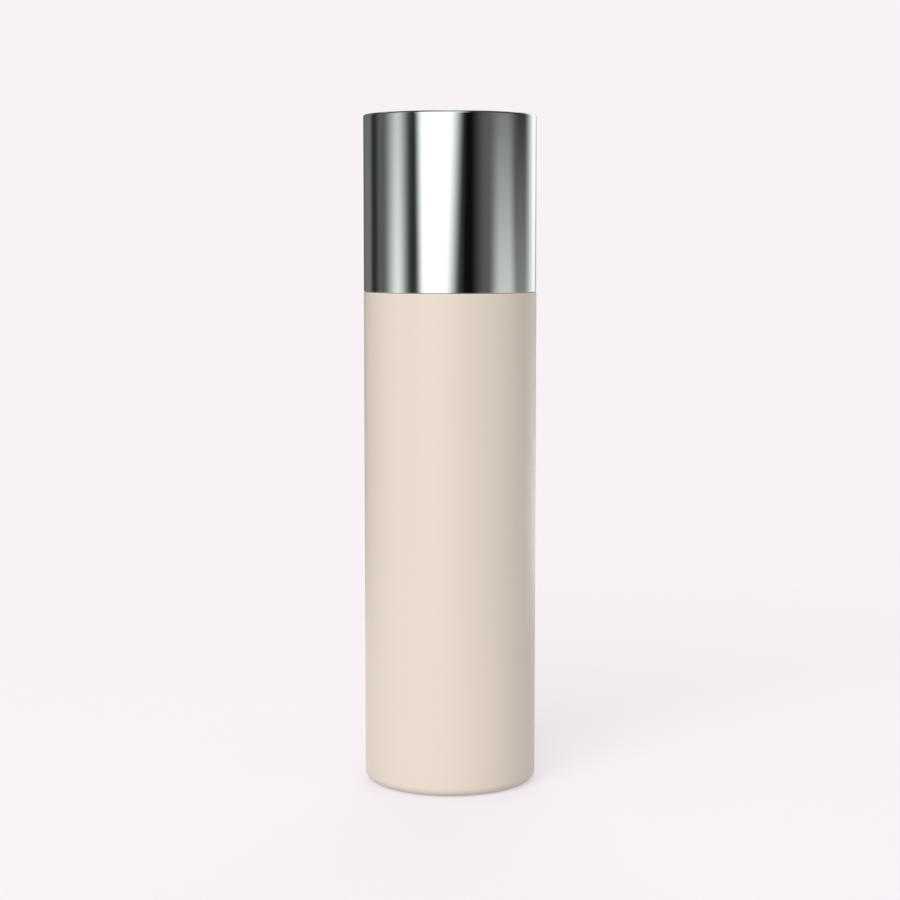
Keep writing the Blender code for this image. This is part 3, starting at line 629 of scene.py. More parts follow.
def link(tree, source, target):
    tree.links.new(source, target)


def node(tree, kind, **settings):
    made = tree.nodes.new(kind)
    for key, value in settings.items():
        setattr(made, key, value)
    return made


def math_node(tree, operation, *values):
    """A Math node whose inputs are numbers or other nodes' outputs."""
    made = node(tree, "ShaderNodeMath", operation=operation)
    for socket, value in zip(made.inputs, values):
        if isinstance(value, (int, float)):
            socket.default_value = value
        else:
            link(tree, value, socket)
    return made.outputs[0]


def ramp_node(tree, value, low, high, out_low=0.0, out_high=1.0):
    """A smooth step of a value from one level to another."""
    made = node(tree, "ShaderNodeMapRange", interpolation_type="SMOOTHSTEP")
    for index, number in enumerate((low, high, out_low, out_high)):
        made.inputs[index + 1].default_value = number
    link(tree, value, made.inputs[0])
    return made.outputs[0]


def mix_shaders(tree, share, first, second):
    mix = node(tree, "ShaderNodeMixShader")
    link(tree, share, mix.inputs[0])
    link(tree, first.outputs[0], mix.inputs[1])
    link(tree, second.outputs[0], mix.inputs[2])
    return mix


def background(tree, colour):
    made = node(tree, "ShaderNodeBackground")
    made.inputs["Color"].default_value = (*colour, 1)
    return made


def panel_light(tree, azimuth, elevation, panel):
    held = math_node(tree, "MINIMUM", elevation, LEAN_LIMIT)
    near = math_node(tree, "MULTIPLY_ADD", held, -panel.lean[0], azimuth)
    far = math_node(tree, "MULTIPLY_ADD", held, -panel.lean[1], azimuth)
    rise = ramp_node(tree, near, *panel.rise)
    fall = ramp_node(tree, far, *panel.fall, 1.0, 0.0)
    level = ramp_node(tree, elevation, *panel.span, panel.low, panel.high)
    return math_node(tree, "MULTIPLY", math_node(tree, "MULTIPLY", rise, fall), level)


def reflected_light(tree):
    """Brightness of the surround in the direction that a reflection looks."""
    direction = node(tree, "ShaderNodeTexCoord").outputs["Generated"]
    parts = node(tree, "ShaderNodeSeparateXYZ")
    link(tree, direction, parts.inputs[0])
    across, away, up = parts.outputs
    to_degrees = math.degrees(1)
    toward = math_node(tree, "MULTIPLY", away, -1.0)
    azimuth = math_node(tree, "MULTIPLY", math_node(tree, "ARCTAN2", across, toward), to_degrees)
    elevation = math_node(tree, "MULTIPLY", math_node(tree, "ARCSINE", up), to_degrees)

    total = 0.0
    for panel in PANELS.values():
        total = math_node(tree, "ADD", total, panel_light(tree, azimuth, elevation, panel))
    for panel in DARK_PANELS.values():
        total = math_node(tree, "SUBTRACT", total, panel_light(tree, azimuth, elevation, panel))
    total = math_node(tree, "MAXIMUM", total, DARKEST)
    fade = ramp_node(tree, elevation, *PANEL_FADE, 1.0, PANEL_FADE_LEAST)
    total = math_node(tree, "MULTIPLY", total, fade)

    ceiling = ramp_node(tree, elevation, *CEILING_RISE, 0.0, CEILING_LEVEL)
    total = math_node(tree, "ADD", total, ceiling)
    rear = math_node(tree, "MULTIPLY", ramp_node(tree, away, *REAR_SIDE), REAR_LEVEL)
    rear = math_node(tree, "MULTIPLY", rear, ramp_node(tree, elevation, *REAR_RISE))
    rear = math_node(tree, "MULTIPLY", rear, ramp_node(tree, elevation, *REAR_FALL, 1.0, 0.0))
    return math_node(tree, "ADD", total, rear)


def make_world():
    """A banded surround for reflections, a backdrop for the camera, and an even ambient light."""
    world = bpy.data.worlds.new("studio")
    bpy.context.scene.world = world
    world.use_nodes = True
    tree = world.node_tree
    tree.nodes.clear()
    gloss = background(tree, GLOSS_TINT)
    link(tree, reflected_light(tree), gloss.inputs["Strength"])
    ambient = background(tree, AMBIENT_TINT)
    ambient.inputs["Strength"].default_value = AMBIENT
    ray = node(tree, "ShaderNodeLightPath").outputs
    straight = math_node(tree, "MAXIMUM", ray["Is Camera Ray"], ray["Is Transmission Ray"])
    lit = mix_shaders(tree, ray["Is Glossy Ray"], ambient, gloss)
    seen = mix_shaders(tree, straight, lit, background(tree, BACKDROP))
    link(tree, seen.outputs[0], node(tree, "ShaderNodeOutputWorld").inputs["Surface"])


def make_lamps():
    for name, (azimuth, elevation, distance, size, power) in LAMPS.items():
        data = bpy.data.lights.new(name, "AREA")
        data.shape = "DISK"
        data.size = size
        data.energy = power
        lamp = add_piece(name, data)
        turn = math.radians(azimuth)
        rise = math.radians(elevation)
        level = math.cos(rise)
        away = Vector((math.sin(turn) * level, -math.cos(turn) * level, math.sin(rise)))
        lamp.location = Vector(LAMP_AIM) + away * distance
        lamp.rotation_euler = away.to_track_quat("Z", "Y").to_euler()
        lamp.visible_camera = False
        lamp.visible_glossy = False


def make_floor():
    """A pale floor that fades into the backdrop's colour away from the bottle."""
    bm = bmesh.new()
    bmesh.ops.create_circle(bm, cap_ends=True, segments=FLOOR_SEGMENTS, radius=FLOOR_R)
    floor = add_piece("floor", mesh_from(bm, "floor"))
    floor.location.z = -FLOOR_DROP
    material = bpy.data.materials.new("floor")
    material.use_nodes = True
    tree = material.node_tree
    tree.nodes.clear()
    reach = node(tree, "ShaderNodeVectorMath", operation="LENGTH")
    link(tree, node(tree, "ShaderNodeTexCoord").outputs["Object"], reach.inputs[0])
    fade = ramp_node(tree, reach.outputs["Value"], *FLOOR_FADE)
    matt = node(tree, "ShaderNodeBsdfDiffuse")
    matt.inputs["Color"].default_value = (*FLOOR_COLOUR, 1)
    lift = node(tree, "ShaderNodeEmission")
    lift.inputs["Color"].default_value = (*FLOOR_LIFT, 1)
    ray = node(tree, "ShaderNodeLightPath").outputs
    shown = math_node(tree, "MAXIMUM", ray["Is Camera Ray"], ray["Is Glossy Ray"])
    shown = math_node(tree, "MAXIMUM", shown, ray["Is Transmission Ray"])
    link(tree, math_node(tree, "MAXIMUM", shown, FLOOR_BOUNCE), lift.inputs["Strength"])
    lit = node(tree, "ShaderNodeAddShader")
    link(tree, matt.outputs[0], lit.inputs[0])
    link(tree, lift.outputs[0], lit.inputs[1])
    faded = mix_shaders(tree, fade, lit, node(tree, "ShaderNodeBsdfTransparent"))
    link(tree, faded.outputs[0], node(tree, "ShaderNodeOutputMaterial").inputs["Surface"])
    floor.data.materials.append(material)


def make_camera():
    data = bpy.data.cameras.new("camera")
    data.lens = CAMERA_LENS
    camera = add_piece("camera", data)
    camera.location = CAMERA_SPOT
    camera.rotation_euler = (math.pi / 2 - CAMERA_PITCH, 0, 0)
    bpy.context.scene.camera = camera
    bpy.context.scene.view_settings.view_transform = "Standard"


# Materials: a texture is a noise's scale per metre and its detail, a band is the part of it that
# is used, and a depth is in metres

FLOW_CLOUDS = (45.0, 3.0)
GLOSS_PATCHES = (320.0, 3.0)
GLOSS_BAND = (0.3, 0.7)
GLOSS_SPREAD = 0.03
SKIN_GRAIN = (2600.0, 2.0)
SKIN_DEPTH = 0.000004

HAIRLINES = (2400.0, 3.0)
HAIRLINE_STRETCH = (1.0, 1.0, 0.04)
HAIRLINE_BAND = (0.3, 0.8)
HAIRLINE_GLOSS = (0.7, 1.5)
METAL_CLOUDS = (160.0, 2.0)
METAL_CLOUD_TONE = 0.975
METAL_WAVES = (420.0, 1.0)
METAL_WAVE_DEPTH = 0.0000002

FOAM_ROUGHNESS = 0.8
FOAM_CELL_SCALE = 3800.0
FOAM_CELL_DEPTH = 0.00005
# How dark the painted shade in the foam cells' hollows is
FOAM_CELL_SHADE = 0.86


def surface(name, colour, roughness, metallic=0.0):
    """A Principled material, with its tree, its shader and its object coordinates."""
    material = bpy.data.materials.new(name)
    material.use_nodes = True
    tree = material.node_tree
    shader = tree.nodes["Principled BSDF"]
    shader.inputs["Base Color"].default_value = (*colour, 1)
    shader.inputs["Roughness"].default_value = roughness
    shader.inputs["Metallic"].default_value = metallic
    place = node(tree, "ShaderNodeTexCoord").outputs["Object"]
    return material, tree, shader, place


def noise(tree, place, scale, detail):
    made = node(tree, "ShaderNodeTexNoise")
    made.inputs["Scale"].default_value = scale
    made.inputs["Detail"].default_value = detail
    link(tree, place, made.inputs["Vector"])
    return made.outputs["Fac"]


def stretched(tree, place, stretch):
    """Coordinates that are stretched along the axes."""
    mapping = node(tree, "ShaderNodeMapping")
    mapping.inputs["Scale"].default_value = stretch
    link(tree, place, mapping.inputs["Vector"])
    return mapping.outputs[0]


def toned(colour, share):
    return tuple(part * share for part in colour)


def tint(tree, shader, value, dark, light):
    """Colour that wanders between two tones."""
    mix = node(tree, "ShaderNodeMix", data_type="RGBA")
    tones = [socket for socket in mix.inputs if socket.type == "RGBA"]
    for socket, tone in zip(tones, (dark, light)):
        socket.default_value = (*tone, 1)
    link(tree, value, mix.inputs["Factor"])
    result = next(socket for socket in mix.outputs if socket.type == "RGBA")
    link(tree, result, shader.inputs["Base Color"])


def relief(tree, shader, height, distance):
    bump = node(tree, "ShaderNodeBump")
    bump.inputs["Distance"].default_value = distance
    bump.inputs["Strength"].default_value = 1.0
    link(tree, height, bump.inputs["Height"])
    link(tree, bump.outputs[0], shader.inputs["Normal"])


def moulded(name, dark, light, roughness):
    """Moulded plastic: faint flow clouds in the colour, a fine skin texture, and uneven gloss."""
    material, tree, shader, place = surface(name, light, roughness)
    tint(tree, shader, noise(tree, place, *FLOW_CLOUDS), dark, light)
    uneven = noise(tree, place, *GLOSS_PATCHES)
    levels = (roughness - GLOSS_SPREAD, roughness + GLOSS_SPREAD)
    link(tree, ramp_node(tree, uneven, *GLOSS_BAND, *levels), shader.inputs["Roughness"])
    relief(tree, shader, noise(tree, place, *SKIN_GRAIN), SKIN_DEPTH)
    return material


def bright_metal(name, colour, roughness):
    """Polished metal: hairline polish marks in its gloss and an almost flat waviness."""
    material, tree, shader, place = surface(name, colour, roughness, 1.0)
    hairline = noise(tree, stretched(tree, place, HAIRLINE_STRETCH), *HAIRLINES)
    levels = [roughness * share for share in HAIRLINE_GLOSS]
    link(tree, ramp_node(tree, hairline, *HAIRLINE_BAND, *levels), shader.inputs["Roughness"])
    clouds = noise(tree, place, *METAL_CLOUDS)
    tint(tree, shader, clouds, toned(colour, METAL_CLOUD_TONE), colour)
    relief(tree, shader, noise(tree, place, *METAL_WAVES), METAL_WAVE_DEPTH)
    return material


def foam(name, colour):
    """Closed-cell foam: small round dimpled cells, with painted shade that darkens each cell's
    hollow.
    """
    material, tree, shader, place = surface(name, colour, FOAM_ROUGHNESS)
    cells = node(tree, "ShaderNodeTexVoronoi")
    cells.inputs["Scale"].default_value = FOAM_CELL_SCALE
    link(tree, place, cells.inputs["Vector"])
    relief(tree, shader, cells.outputs["Distance"], FOAM_CELL_DEPTH)
    # Painted shade: the colour darkens towards each cell's sunken middle, following the relief
    tint(tree, shader, cells.outputs["Distance"], toned(colour, FOAM_CELL_SHADE), colour)
    return material


make_camera()
make_world()
make_lamps()
make_floor()

MATERIALS = {
    "beige_plastic": moulded("satin_beige", (0.795, 0.702, 0.602), (0.812, 0.716, 0.616), 0.34),
    "white_plastic": moulded("white_plastic", (0.82, 0.82, 0.81), (0.86, 0.86, 0.85), 0.36),
    "natural_plastic": moulded("natural_plastic", (0.74, 0.76, 0.75), (0.80, 0.81, 0.80), 0.40),
    "bright_aluminium": bright_metal("polished_aluminium", (0.91, 0.92, 0.92), 0.05),
    "bright_plating": bright_metal("bright_plating", (0.86, 0.86, 0.87), 0.07),
    "bright_steel": bright_metal("bright_steel", (0.62, 0.61, 0.60), 0.20),
    "white_foam": foam("white_foam", (0.88, 0.88, 0.86)),
}


def dress(piece, body, slot, *nodes):
    """Gives a piece its body, its material and the nodes that it stands for."""
    piece.data.materials.clear()
    piece.data.materials.append(MATERIALS[slot])
    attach(piece, body)
    if nodes:
        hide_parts(*nodes)


# Outlines of the turned pieces


def ridge(wall, crest, height, half_flat, half_width, crest_round):
    """A bead on a wall, or a groove in it, from its upper side to its lower side."""
    flat = [(crest, height + half_flat, crest_round), (crest, height - half_flat, crest_round)]
    upper = (wall, height + half_width, RIDGE_ROUND)
    lower = (wall, height - half_width, RIDGE_ROUND)
    return [upper, *(flat if half_flat else flat[:1]), lower]


def body_shell():
    """The beige shell, with the shoulder ring's groove and a recessed base with its gate mark."""
    groove = ridge(SHELL_BORE, GROOVE_R, GROOVE_Z, half_flat=0.5, half_width=0.8, crest_round=0.2)
    gate = RECESS_TOP - GATE_PROUD
    dimple = RECESS_TOP + DIMPLE_DEPTH
    return [
        (0, SHELL_FLOOR), (SHELL_BORE, SHELL_FLOOR, 1.2), *reversed(groove),
        (SHELL_BORE, SHELL_TOP, 0.15), (BODY_R, SHELL_TOP, 0.35), (BODY_R, 0, 2.0),
        (FOOT_R, 0, 0.2), (FOOT_R - FOOT_SLOPE, RECESS_TOP, 0.3),
        (GATE_R + GATE_SLOPE, RECESS_TOP, 0.1), (GATE_R, gate, 0.1),
        (DIMPLE_R + DIMPLE_SLOPE, gate, 0.1), (DIMPLE_R, dimple, 0.1), (0, dimple),
    ]


def shoulder_z(radius):
    """Height of the inner bottle's slanted shoulder, outside."""
    return SHOULDER_TOP - (radius - SHOULDER_R) * math.tan(SHOULDER_ANGLE)


def liner_bottle():
    """The inner bottle, with a pushed-up base, a slanted shoulder and a transfer bead."""
    inside = BOTTLE_R - BOTTLE_WALL
    under = BOTTLE_WALL / math.cos(SHOULDER_ANGLE)
    transfer = ridge(
        NECK_R, TRANSFER_R, TRANSFER_Z, half_flat=0.4, half_width=0.8, crest_round=0.3
    )
    return [
        (0, BOTTLE_FLOOR), (PUSH_UP_R, BOTTLE_FLOOR, 0.5), (inside, BOTTLE_FLOOR_EDGE, 1.5),
        (inside, shoulder_z(inside) - under, 1.0), (NECK_BORE, shoulder_z(NECK_BORE) - under, 0.5),
        (NECK_BORE, NECK_TOP, 0.25), (NECK_R, NECK_TOP, 0.25), *transfer,
        (NECK_R, SHOULDER_TOP, 0.6), (SHOULDER_R, SHOULDER_TOP, 0.4),
        (BOTTLE_R, shoulder_z(BOTTLE_R), 2.0), (BOTTLE_R, BOTTLE_BASE, 2.5),
        (PUSH_UP_R + PUSH_UP_SLOPE, BOTTLE_BASE, 0.3), (PUSH_UP_R, PUSH_UP_TOP, 0.3),
        (0, PUSH_UP_TOP),
    ]


def snap_shoulder():
    """The ring that plugs the shell, rests on the shoulder and has the cap's spigot and bead."""
    snap = ridge(SPIGOT_R, SNAP_R, SNAP_Z, half_flat=0, half_width=SNAP_HALF, crest_round=0.3)
    catch = ridge(PLUG_R, PLUG_BEAD_R, GROOVE_Z, half_flat=0, half_width=0.5, crest_round=0.2)
    return [
        (SPIGOT_R, SPIGOT_TOP, 0.3), *snap, (SPIGOT_R, DECK_TOP, 0.15), (PLUG_R, DECK_TOP, 0.12),
        *catch, (PLUG_R, PLUG_FOOT, 0.3), (PLUG_BORE, PLUG_FOOT, 0.3), (PLUG_BORE, DECK_FOOT, 0.3),
        (SPIGOT_BORE, DECK_FOOT, 0.3), (SPIGOT_BORE, RING_FOOT_OUTSIDE, 0.2),
        (RING_BORE, RING_FOOT_INSIDE, 0.2), (RING_BORE, RING_TOP, 0.15),
        (SPIGOT_BORE, RING_TOP, 0.1), (SPIGOT_BORE, SPIGOT_TOP, 0.25),
    ]


def overcap_skin():
    """The cap's bright drawn cup."""
    return [
        (0, CAP_TOP), (BODY_R, CAP_TOP, 0.5), (BODY_R, CAP_FOOT, CAP_WALL_ROUND),
        (CAP_BORE, CAP_FOOT, CAP_WALL_ROUND), (CAP_BORE, CAP_CEILING, 0.3), (0, CAP_CEILING),
    ]


def overcap_sleeve():
    """The cap's plastic sleeve, with its foot flange, snap bead, lead-in and gate mark."""
    gate = SLEEVE_CEILING - SLEEVE_GATE_PROUD
    snap = ridge(
        SLEEVE_BORE,
        SLEEVE_BEAD_R,
        SLEEVE_BEAD_Z,
        half_flat=0,
        half_width=SNAP_HALF,
        crest_round=0.3,
    )
    return [
        (0, SLEEVE_TOP), (SLEEVE_R, SLEEVE_TOP, 0.3), (SLEEVE_R, SLEEVE_FLANGE_TOP, 0.1),
        (SLEEVE_FLANGE_R, SLEEVE_FLANGE_TOP, 0.1), (SLEEVE_FLANGE_R, SLEEVE_FOOT, 0.1),
        (SLEEVE_BORE, SLEEVE_FOOT, 0.3), *reversed(snap), (SLEEVE_BORE, SLEEVE_CEILING, 0.5),
        (SLEEVE_GATE_R + GATE_SLOPE, SLEEVE_CEILING, 0.1), (SLEEVE_GATE_R, gate, 0.1), (0, gate),
    ]


def pump_cylinder():
    """The housing: flange, neck plug, cylinder, cone, tube socket, ball seat, cage and ledge."""
    cone_foot = CONE_TOP - (HOUSING_R - NOSE_R) * CONE_SLOPE
    return [
        (FLANGE_R, FLANGE_TOP, 0.15), (FLANGE_R, FLANGE_FOOT, 0.15),
        (NECK_PLUG_R, FLANGE_FOOT, 0.1), (NECK_PLUG_R, NECK_PLUG_FOOT, 0.25),
        (NECK_PLUG_BORE, NECK_PLUG_FOOT, 0.2), (NECK_PLUG_BORE, FLANGE_FOOT, 0.2),
        (HOUSING_R, FLANGE_FOOT, 0.3), (HOUSING_R, CONE_TOP, 0.4), (NOSE_R, cone_foot, 0.4),
        (NOSE_R, NOSE_FOOT, 0.15), (TUBE_SOCKET_R, NOSE_FOOT, 0.4),
        (TUBE_SOCKET_R, SOCKET_STOP, 0.1), (SEAT_HOLE_R, SOCKET_STOP, 0.1),
        (SEAT_HOLE_R, SEAT_APEX + SEAT_HOLE_R), (CAGE_R, SEAT_APEX + CAGE_R),
        (CAGE_R, CAGE_LIP_FOOT, 0.1), (CAGE_LIP_R, CAGE_LIP_FOOT, 0.1),
        (CAGE_LIP_R, CAGE_LIP_TOP, 0.1),
        (LEDGE_R, LEDGE_TOP, 0.1), (CHAMBER_R, LEDGE_TOP, 0.2), (CHAMBER_R, FLANGE_TOP, 0.2),
    ]


def stem_guide():
    """The chaplet: a boss round the stem, a plate and a plug in the housing."""
    return [
        (BOSS_R, BOSS_TOP, 0.3), (BOSS_R, CHAPLET_TOP, 0.1), (CHAPLET_R, CHAPLET_TOP, 0.2),
        (CHAPLET_R, CHAPLET_FOOT, 0.1), (GUIDE_R, CHAPLET_FOOT, 0.1), (GUIDE_R, GUIDE_FOOT, 0.25),
        (GUIDE_BORE, GUIDE_FOOT, 0.15), (GUIDE_BORE, BOSS_TOP, 0.4),
    ]


def neck_washer():
    """The foam gasket between the neck and the pump's flange."""
    top = FLANGE_FOOT - PRESSED
    foot = NECK_TOP + PRESSED
    corners = [(FLANGE_R, top), (FLANGE_R, foot), (GASKET_BORE, foot), (GASKET_BORE, top)]
    return [(*corner, GASKET_ROUND) for corner in corners]


def suction_tube():
    """The dip tube, with the spare length that its slanted cut takes off."""
    foot = TUBE_TIP - TUBE_SPARE
    return [
        (TUBE_R, TUBE_TOP, 0.15), (TUBE_R, foot), (TUBE_BORE, foot), (TUBE_BORE, TUBE_TOP, 0.15),
    ]


def threaded_closure():
    """The closure's plate and skirt."""
    return [
        (CLOSURE_R, PLATE_TOP, 0.3), (CLOSURE_R, CLOSURE_FOOT, 0.2),
        (CLOSURE_BORE, CLOSURE_FOOT, 0.2), (CLOSURE_BORE, PLATE_FOOT, 0.3),
        (CLOSURE_HOLE, PLATE_FOOT, 0.1), (CLOSURE_HOLE, PLATE_TOP, 0.2),
    ]


def collar():
    """The bright sleeve over the closure, with its step and the chimney that the head slides in."""
    return [
        (CHIMNEY_R, CHIMNEY_TOP, 0.25), (CHIMNEY_R, STEP_TOP, 0.4), (COLLAR_R, STEP_TOP, 0.8),
        (COLLAR_R, CLOSURE_FOOT, 0.1), (COLLAR_BORE, CLOSURE_FOOT, 0.1),
        (COLLAR_BORE, STEP_FOOT, 0.3), (CHIMNEY_BORE, STEP_FOOT, 0.1),
        (CHIMNEY_BORE, CHIMNEY_TOP, 0.2),
    ]


def hollow_stem():
    """The stem, with the stop that keeps it under the chaplet and a thinner tail in the piston."""
    return [
        (STEM_R, STEM_TOP, 0.3), (STEM_R, STOP_TOP, 0.1), (STOP_R, STOP_TOP, 0.15),
        (STOP_R, STOP_FOOT, 0.15), (STEM_TAIL_R, STOP_FOOT, 0.1), (STEM_TAIL_R, STEM_FOOT, 0.2),
        (STEM_BORE, STEM_FOOT, 0.15), (STEM_BORE, STEM_TOP, 0.2),
    ]


def fluted_poppet():
    """The pointed shank that plugs in the stem, the sealing head and the spring's guide."""
    seat_foot = POPPET_TOP - (POPPET_R - POPPET_SEAT_R)
    return [
        (0, SHANK_TOP), (SHANK_TIP_R, SHANK_TOP, 0.2), (SHANK_R, SHANK_TOP - SHANK_POINT, 0.2),
        (SHANK_R, POPPET_TOP, 0.1), (POPPET_SEAT_R, POPPET_TOP, 0.15), (POPPET_R, seat_foot, 0.15),
        (POPPET_R, POPPET_FOOT, 0.15), (POPPET_GUIDE_R, POPPET_FOOT, 0.1),
        (POPPET_GUIDE_R, POPPET_GUIDE_FOOT, 0.4), (0, POPPET_GUIDE_FOOT),
    ]


def piston_seal():
    """The piston: a sleeve on the stem's tail and two pairs of lips at the chamber's wall."""
    return [
        (PISTON_R, PISTON_TOP, PISTON_LIP_ROUND), (PISTON_R, PISTON_TOP - PISTON_LIP_LAND, 0.1),
        (PISTON_WAIST_R, PISTON_TOP - PISTON_LIP_H, 0.2),
        (PISTON_WAIST_R, PISTON_FOOT + PISTON_LIP_H, 0.2),
        (PISTON_R, PISTON_FOOT + PISTON_LIP_LAND, 0.1), (PISTON_R, PISTON_FOOT, PISTON_LIP_ROUND),
        (PISTON_LIP_BORE, PISTON_FOOT, PISTON_LIP_ROUND),
        (PISTON_SLEEVE_R, PISTON_FOOT + PISTON_LIP_HOLLOW, 0.1),
        (PISTON_SLEEVE_R, PISTON_SLEEVE_FOOT, 0.1), (PISTON_BORE, PISTON_SLEEVE_FOOT, 0.1),
        (PISTON_BORE, PISTON_TOP, 0.1), (PISTON_SLEEVE_R, PISTON_TOP, 0.1),
        (PISTON_SLEEVE_R, PISTON_TOP - PISTON_LIP_HOLLOW, 0.1),
        (PISTON_LIP_BORE, PISTON_TOP, PISTON_LIP_ROUND),
    ]


def head_core():
    """The head's plastic core, with the stem's socket and the riser in its column."""
    return [
        (0, CORE_TOP), (CORE_R, CORE_TOP, 0.8), (CORE_R, CORE_FOOT, 0.2),
        (CORE_BORE, CORE_FOOT, 0.2), (CORE_BORE, CORE_CEILING, 0.4),
        (COLUMN_R, CORE_CEILING, 0.4), (COLUMN_R, COLUMN_FOOT, 0.2),
        (STEM_SOCKET_R, COLUMN_FOOT, 0.3), (STEM_SOCKET_R, STEM_SOCKET_TOP, 0.1),
        (RISER_R, STEM_SOCKET_TOP, 0.1), (RISER_R, RISER_TOP, 0.3), (0, RISER_TOP),
    ]


def dish(drop):
    """The finger dish in the push head, from its middle to its rim, lowered by a wall."""
    top = HEAD_TOP - drop
    shares = [step / DISH_STEPS for step in range(DISH_STEPS)]
    bowl = [(DISH_R * share, top - DISH_DEPTH * (1 - share * share)) for share in shares]
    return [*bowl, (DISH_R, top, DISH_RIM)]


def head_skin():
    """The head's bright skin, with its finger dish."""
    return [
        *dish(0), (HEAD_R, HEAD_TOP, 1.2), (HEAD_R, HEAD_FOOT, 0.15), (HEAD_BORE, HEAD_FOOT, 0.15),
        (HEAD_BORE, HEAD_TOP - HEAD_SKIN, 0.7), *reversed(dish(HEAD_SKIN)),
    ]


# Turned pieces: body, material slot, the node that each replaces, and outline
TURNED = {
    "body_shell": ("bottle", "beige_plastic", "outer_shell", body_shell()),
    "liner_bottle": ("bottle", "natural_plastic", "inner_bottle", liner_bottle()),
    "snap_shoulder": ("bottle", "bright_plating", "shoulder_ring", snap_shoulder()),
    "overcap_skin": ("overcap", "bright_aluminium", "overcap_shell", overcap_skin()),
    "overcap_sleeve": ("overcap", "white_plastic", "overcap_liner", overcap_sleeve()),
    "pump_cylinder": ("pump_unit", "natural_plastic", "pump_housing", pump_cylinder()),
    "stem_guide": ("pump_unit", "white_plastic", "chaplet", stem_guide()),
    "neck_washer": ("pump_unit", "white_foam", "neck_gasket", neck_washer()),
    "suction_tube": ("pump_unit", "natural_plastic", "dip_tube", suction_tube()),
    "threaded_closure": ("closure", "white_plastic", "screw_closure", threaded_closure()),
    "collar": ("closure", "bright_aluminium", "collar_sleeve", collar()),
    "hollow_stem": ("plunger", "white_plastic", "stem", hollow_stem()),
    "fluted_poppet": ("plunger", "white_plastic", "poppet", fluted_poppet()),
    "piston_seal": ("piston", "white_plastic", "piston", piston_seal()),
    "head_core": ("head", "white_plastic", "actuator", head_core()),
    "head_skin": ("head", "bright_aluminium", "actuator_shell", head_skin()),
}
SHAPED = {name: turned(name, outline) for name, (_, _, _, outline) in TURNED.items()}


def join(name, mesh):
    combine(SHAPED[name], mesh, "UNION")


def cut(name, mesh):
    combine(SHAPED[name], mesh, "DIFFERENCE")


# Screw threads, of one and a half turns on the neck and one and a quarter in the closure
join("liner_bottle", thread_mesh(NECK_THREAD))
join("threaded_closure", thread_mesh(CLOSURE_THREAD))

# Ribs, notches, flutes and drillings
grip_ribs = bars(
    GRIP_RIBS,
    inner=CLOSURE_R - OVERLAP,
    outer=COLLAR_BORE - PRESSED,
    width=GRIP_RIB_W,
    low=GRIP_RIB_FOOT,
    high=GRIP_RIB_TOP,
)
glue_ribs = bars(
    SLEEVE_RIBS,
    inner=SLEEVE_R - OVERLAP,
    outer=SLEEVE_FLANGE_R,
    width=SLEEVE_RIB_W,
    low=SLEEVE_FLANGE_TOP - OVERLAP,
    high=SLEEVE_CEILING,
)
flow_notches = bars(
    CAGE_NOTCHES,
    inner=CAGE_LIP_R / 2,
    outer=CAGE_NOTCH_R,
    width=CAGE_NOTCH_W,
    low=CAGE_NOTCH_FOOT,
    high=LEDGE_TOP + OVERLAP,
)
vent = rod((CHAMBER_R - OVERLAP, 0, VENT_Z), (HOUSING_R + OVERLAP, 0, VENT_Z), VENT_R)
poppet_flutes = bars(
    FLUTES,
    inner=FLUTE_R,
    outer=FLUTE_END_R,
    width=FLUTE_W,
    low=FLUTE_FOOT,
    high=SHANK_TOP + OVERLAP,
)
core_ribs = bars(
    CORE_RIBS,
    inner=COLUMN_R - OVERLAP,
    outer=CORE_BORE + OVERLAP,
    width=CORE_RIB_W,
    low=SPOUT_Z,
    high=CORE_CEILING + OVERLAP,
    first=math.pi / 2,
)
spout_boss = spout_rod(SPOUT_BOSS_START, SPOUT_BOSS_END, SPOUT_BOSS_R)
spout_socket = spout_rod(SPOUT_SOCKET_START, CORE_R + OVERLAP, SPOUT_SOCKET_R)
cross_channel = spout_rod(0, SPOUT_CHANNEL_END, SPOUT_BORE_R)
skin_hole = spout_rod(0, 2 * HEAD_R, SPOUT_HOLE_R)

join("threaded_closure", grip_ribs)
join("overcap_sleeve", glue_ribs)
cut("pump_cylinder", flow_notches)
cut("pump_cylinder", vent)
cut("suction_tube", slanted_block(TUBE_TIP, TUBE_R, TUBE_CUT))
cut("fluted_poppet", poppet_flutes)
join("head_core", core_ribs)
join("head_core", spout_boss)
cut("head_core", spout_socket)
cut("head_core", cross_channel)
cut("head_skin", skin_hole)

for name, (body, slot, replaced, _) in TURNED.items():
    dress(SHAPED[name], body, slot, replaced)


# Spout


def spout_spot(reach):
    """A point of the spout's middle line, by its length along the line from the bottle's axis."""
    turn = min(max(reach - SPOUT_BEND_START, 0) / SPOUT_BEND_R, SPOUT_BEND)
    past = reach - SPOUT_BEND_START - SPOUT_BEND_R * turn
    out = SPOUT_BEND_START + SPOUT_BEND_R * math.sin(turn) + past * math.cos(turn)
    down = SPOUT_BEND_R * (1 - math.cos(turn)) + max(past, 0) * math.sin(turn)
    return Vector((0, -out, SPOUT_Z - down))


def spout_mesh(stations):
    """A round solid along the spout's middle line, from stations of (length along it, radius)."""
    path = [spout_spot(reach) for reach, _ in stations]
    return tube_mesh(path, [radius for _, radius in stations])


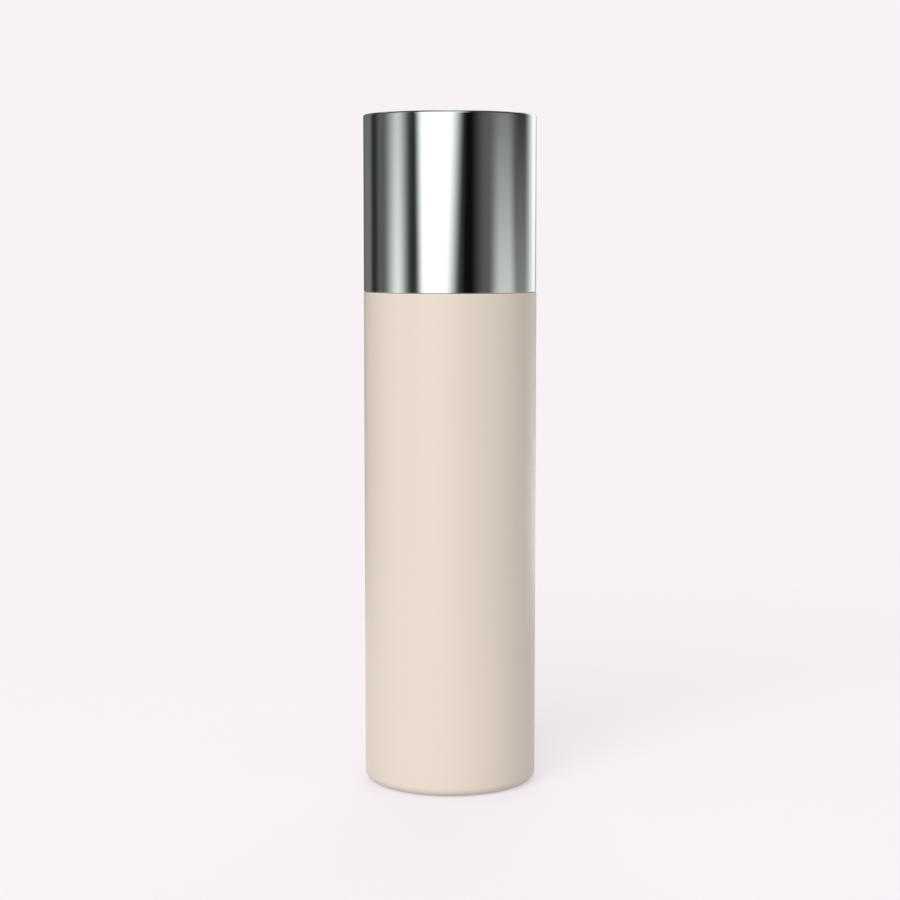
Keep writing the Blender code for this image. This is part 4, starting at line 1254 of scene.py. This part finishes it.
def nozzle():
    """A plug in the head, a shoulder against its skin, and a tapered nozzle that turns down."""
    stations = [
        (SPOUT_PLUG_START + ahead, SPOUT_PLUG_R - less) for ahead, less in SPOUT_PLUG_CHAMFER
    ]
    stations.append((SPOUT_SHOULDER, SPOUT_PLUG_R))
    for ahead, less in SPOUT_SHOULDER_ROUND:
        stations.append((SPOUT_SHOULDER + ahead, SPOUT_ROOT_R - less))
    start = SPOUT_SHOULDER + SPOUT_BARREL_START
    length = SPOUT_END - SPOUT_BARREL_END - start
    for step in range(SPOUT_STEPS + 1):
        share = step / SPOUT_STEPS
        radius = SPOUT_ROOT_R - (SPOUT_ROOT_R - SPOUT_TIP_R) * share ** SPOUT_TAPER
        stations.append((start + length * share, radius))
    stations += [(SPOUT_END - back, SPOUT_TIP_R - less) for back, less in SPOUT_TIP_ROUND]
    piece = add_piece("nozzle", spout_mesh(stations))

    bore_steps = int((SPOUT_END - SPOUT_BORE_START) / BORE_STEP)
    bore = [(SPOUT_BORE_START + BORE_STEP * step, SPOUT_BORE_R) for step in range(bore_steps)]
    bore += [(SPOUT_END + past, radius) for past, radius in SPOUT_MOUTH]
    combine(piece, spout_mesh(bore), "DIFFERENCE")
    return piece


dress(nozzle(), "head", "white_plastic", "spout")


# Return spring and check ball


def coil_spring():
    """Open coils between two dead turns."""
    first = SPRING_FOOT + WIRE_R
    last = SPRING_TOP - WIRE_R
    pitch = (last - first - 2 * END_PITCH) / SPRING_TURNS
    path = []
    for index in range((SPRING_TURNS + 2) * SPRING_STEPS + 1):
        turn = index / SPRING_STEPS
        coiled = min(max(turn - 1, 0), SPRING_TURNS)
        height = first + pitch * coiled + END_PITCH * (turn - coiled)
        angle = math.tau * turn
        path.append(Vector((SPRING_R * math.cos(angle), SPRING_R * math.sin(angle), height)))
    piece = add_piece("coil_spring", tube_mesh(path, [WIRE_R] * len(path), WIRE_SIDES))
    smooth(piece.data)
    return piece


def check_ball():
    bm = bmesh.new()
    spot = Matrix.Translation((0, 0, BALL_Z * MM))
    bmesh.ops.create_uvsphere(
        bm, u_segments=BALL_SEGMENTS, v_segments=BALL_RINGS, radius=BALL_R * MM, matrix=spot
    )
    piece = add_piece("check_ball", mesh_from(bm, "check_ball"))
    smooth(piece.data)
    return piece


spring = coil_spring()
dress(spring, "pump_unit", "bright_steel", "return_spring")
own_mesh(spring)

dress(check_ball(), "ball", "bright_steel", "inlet_ball")
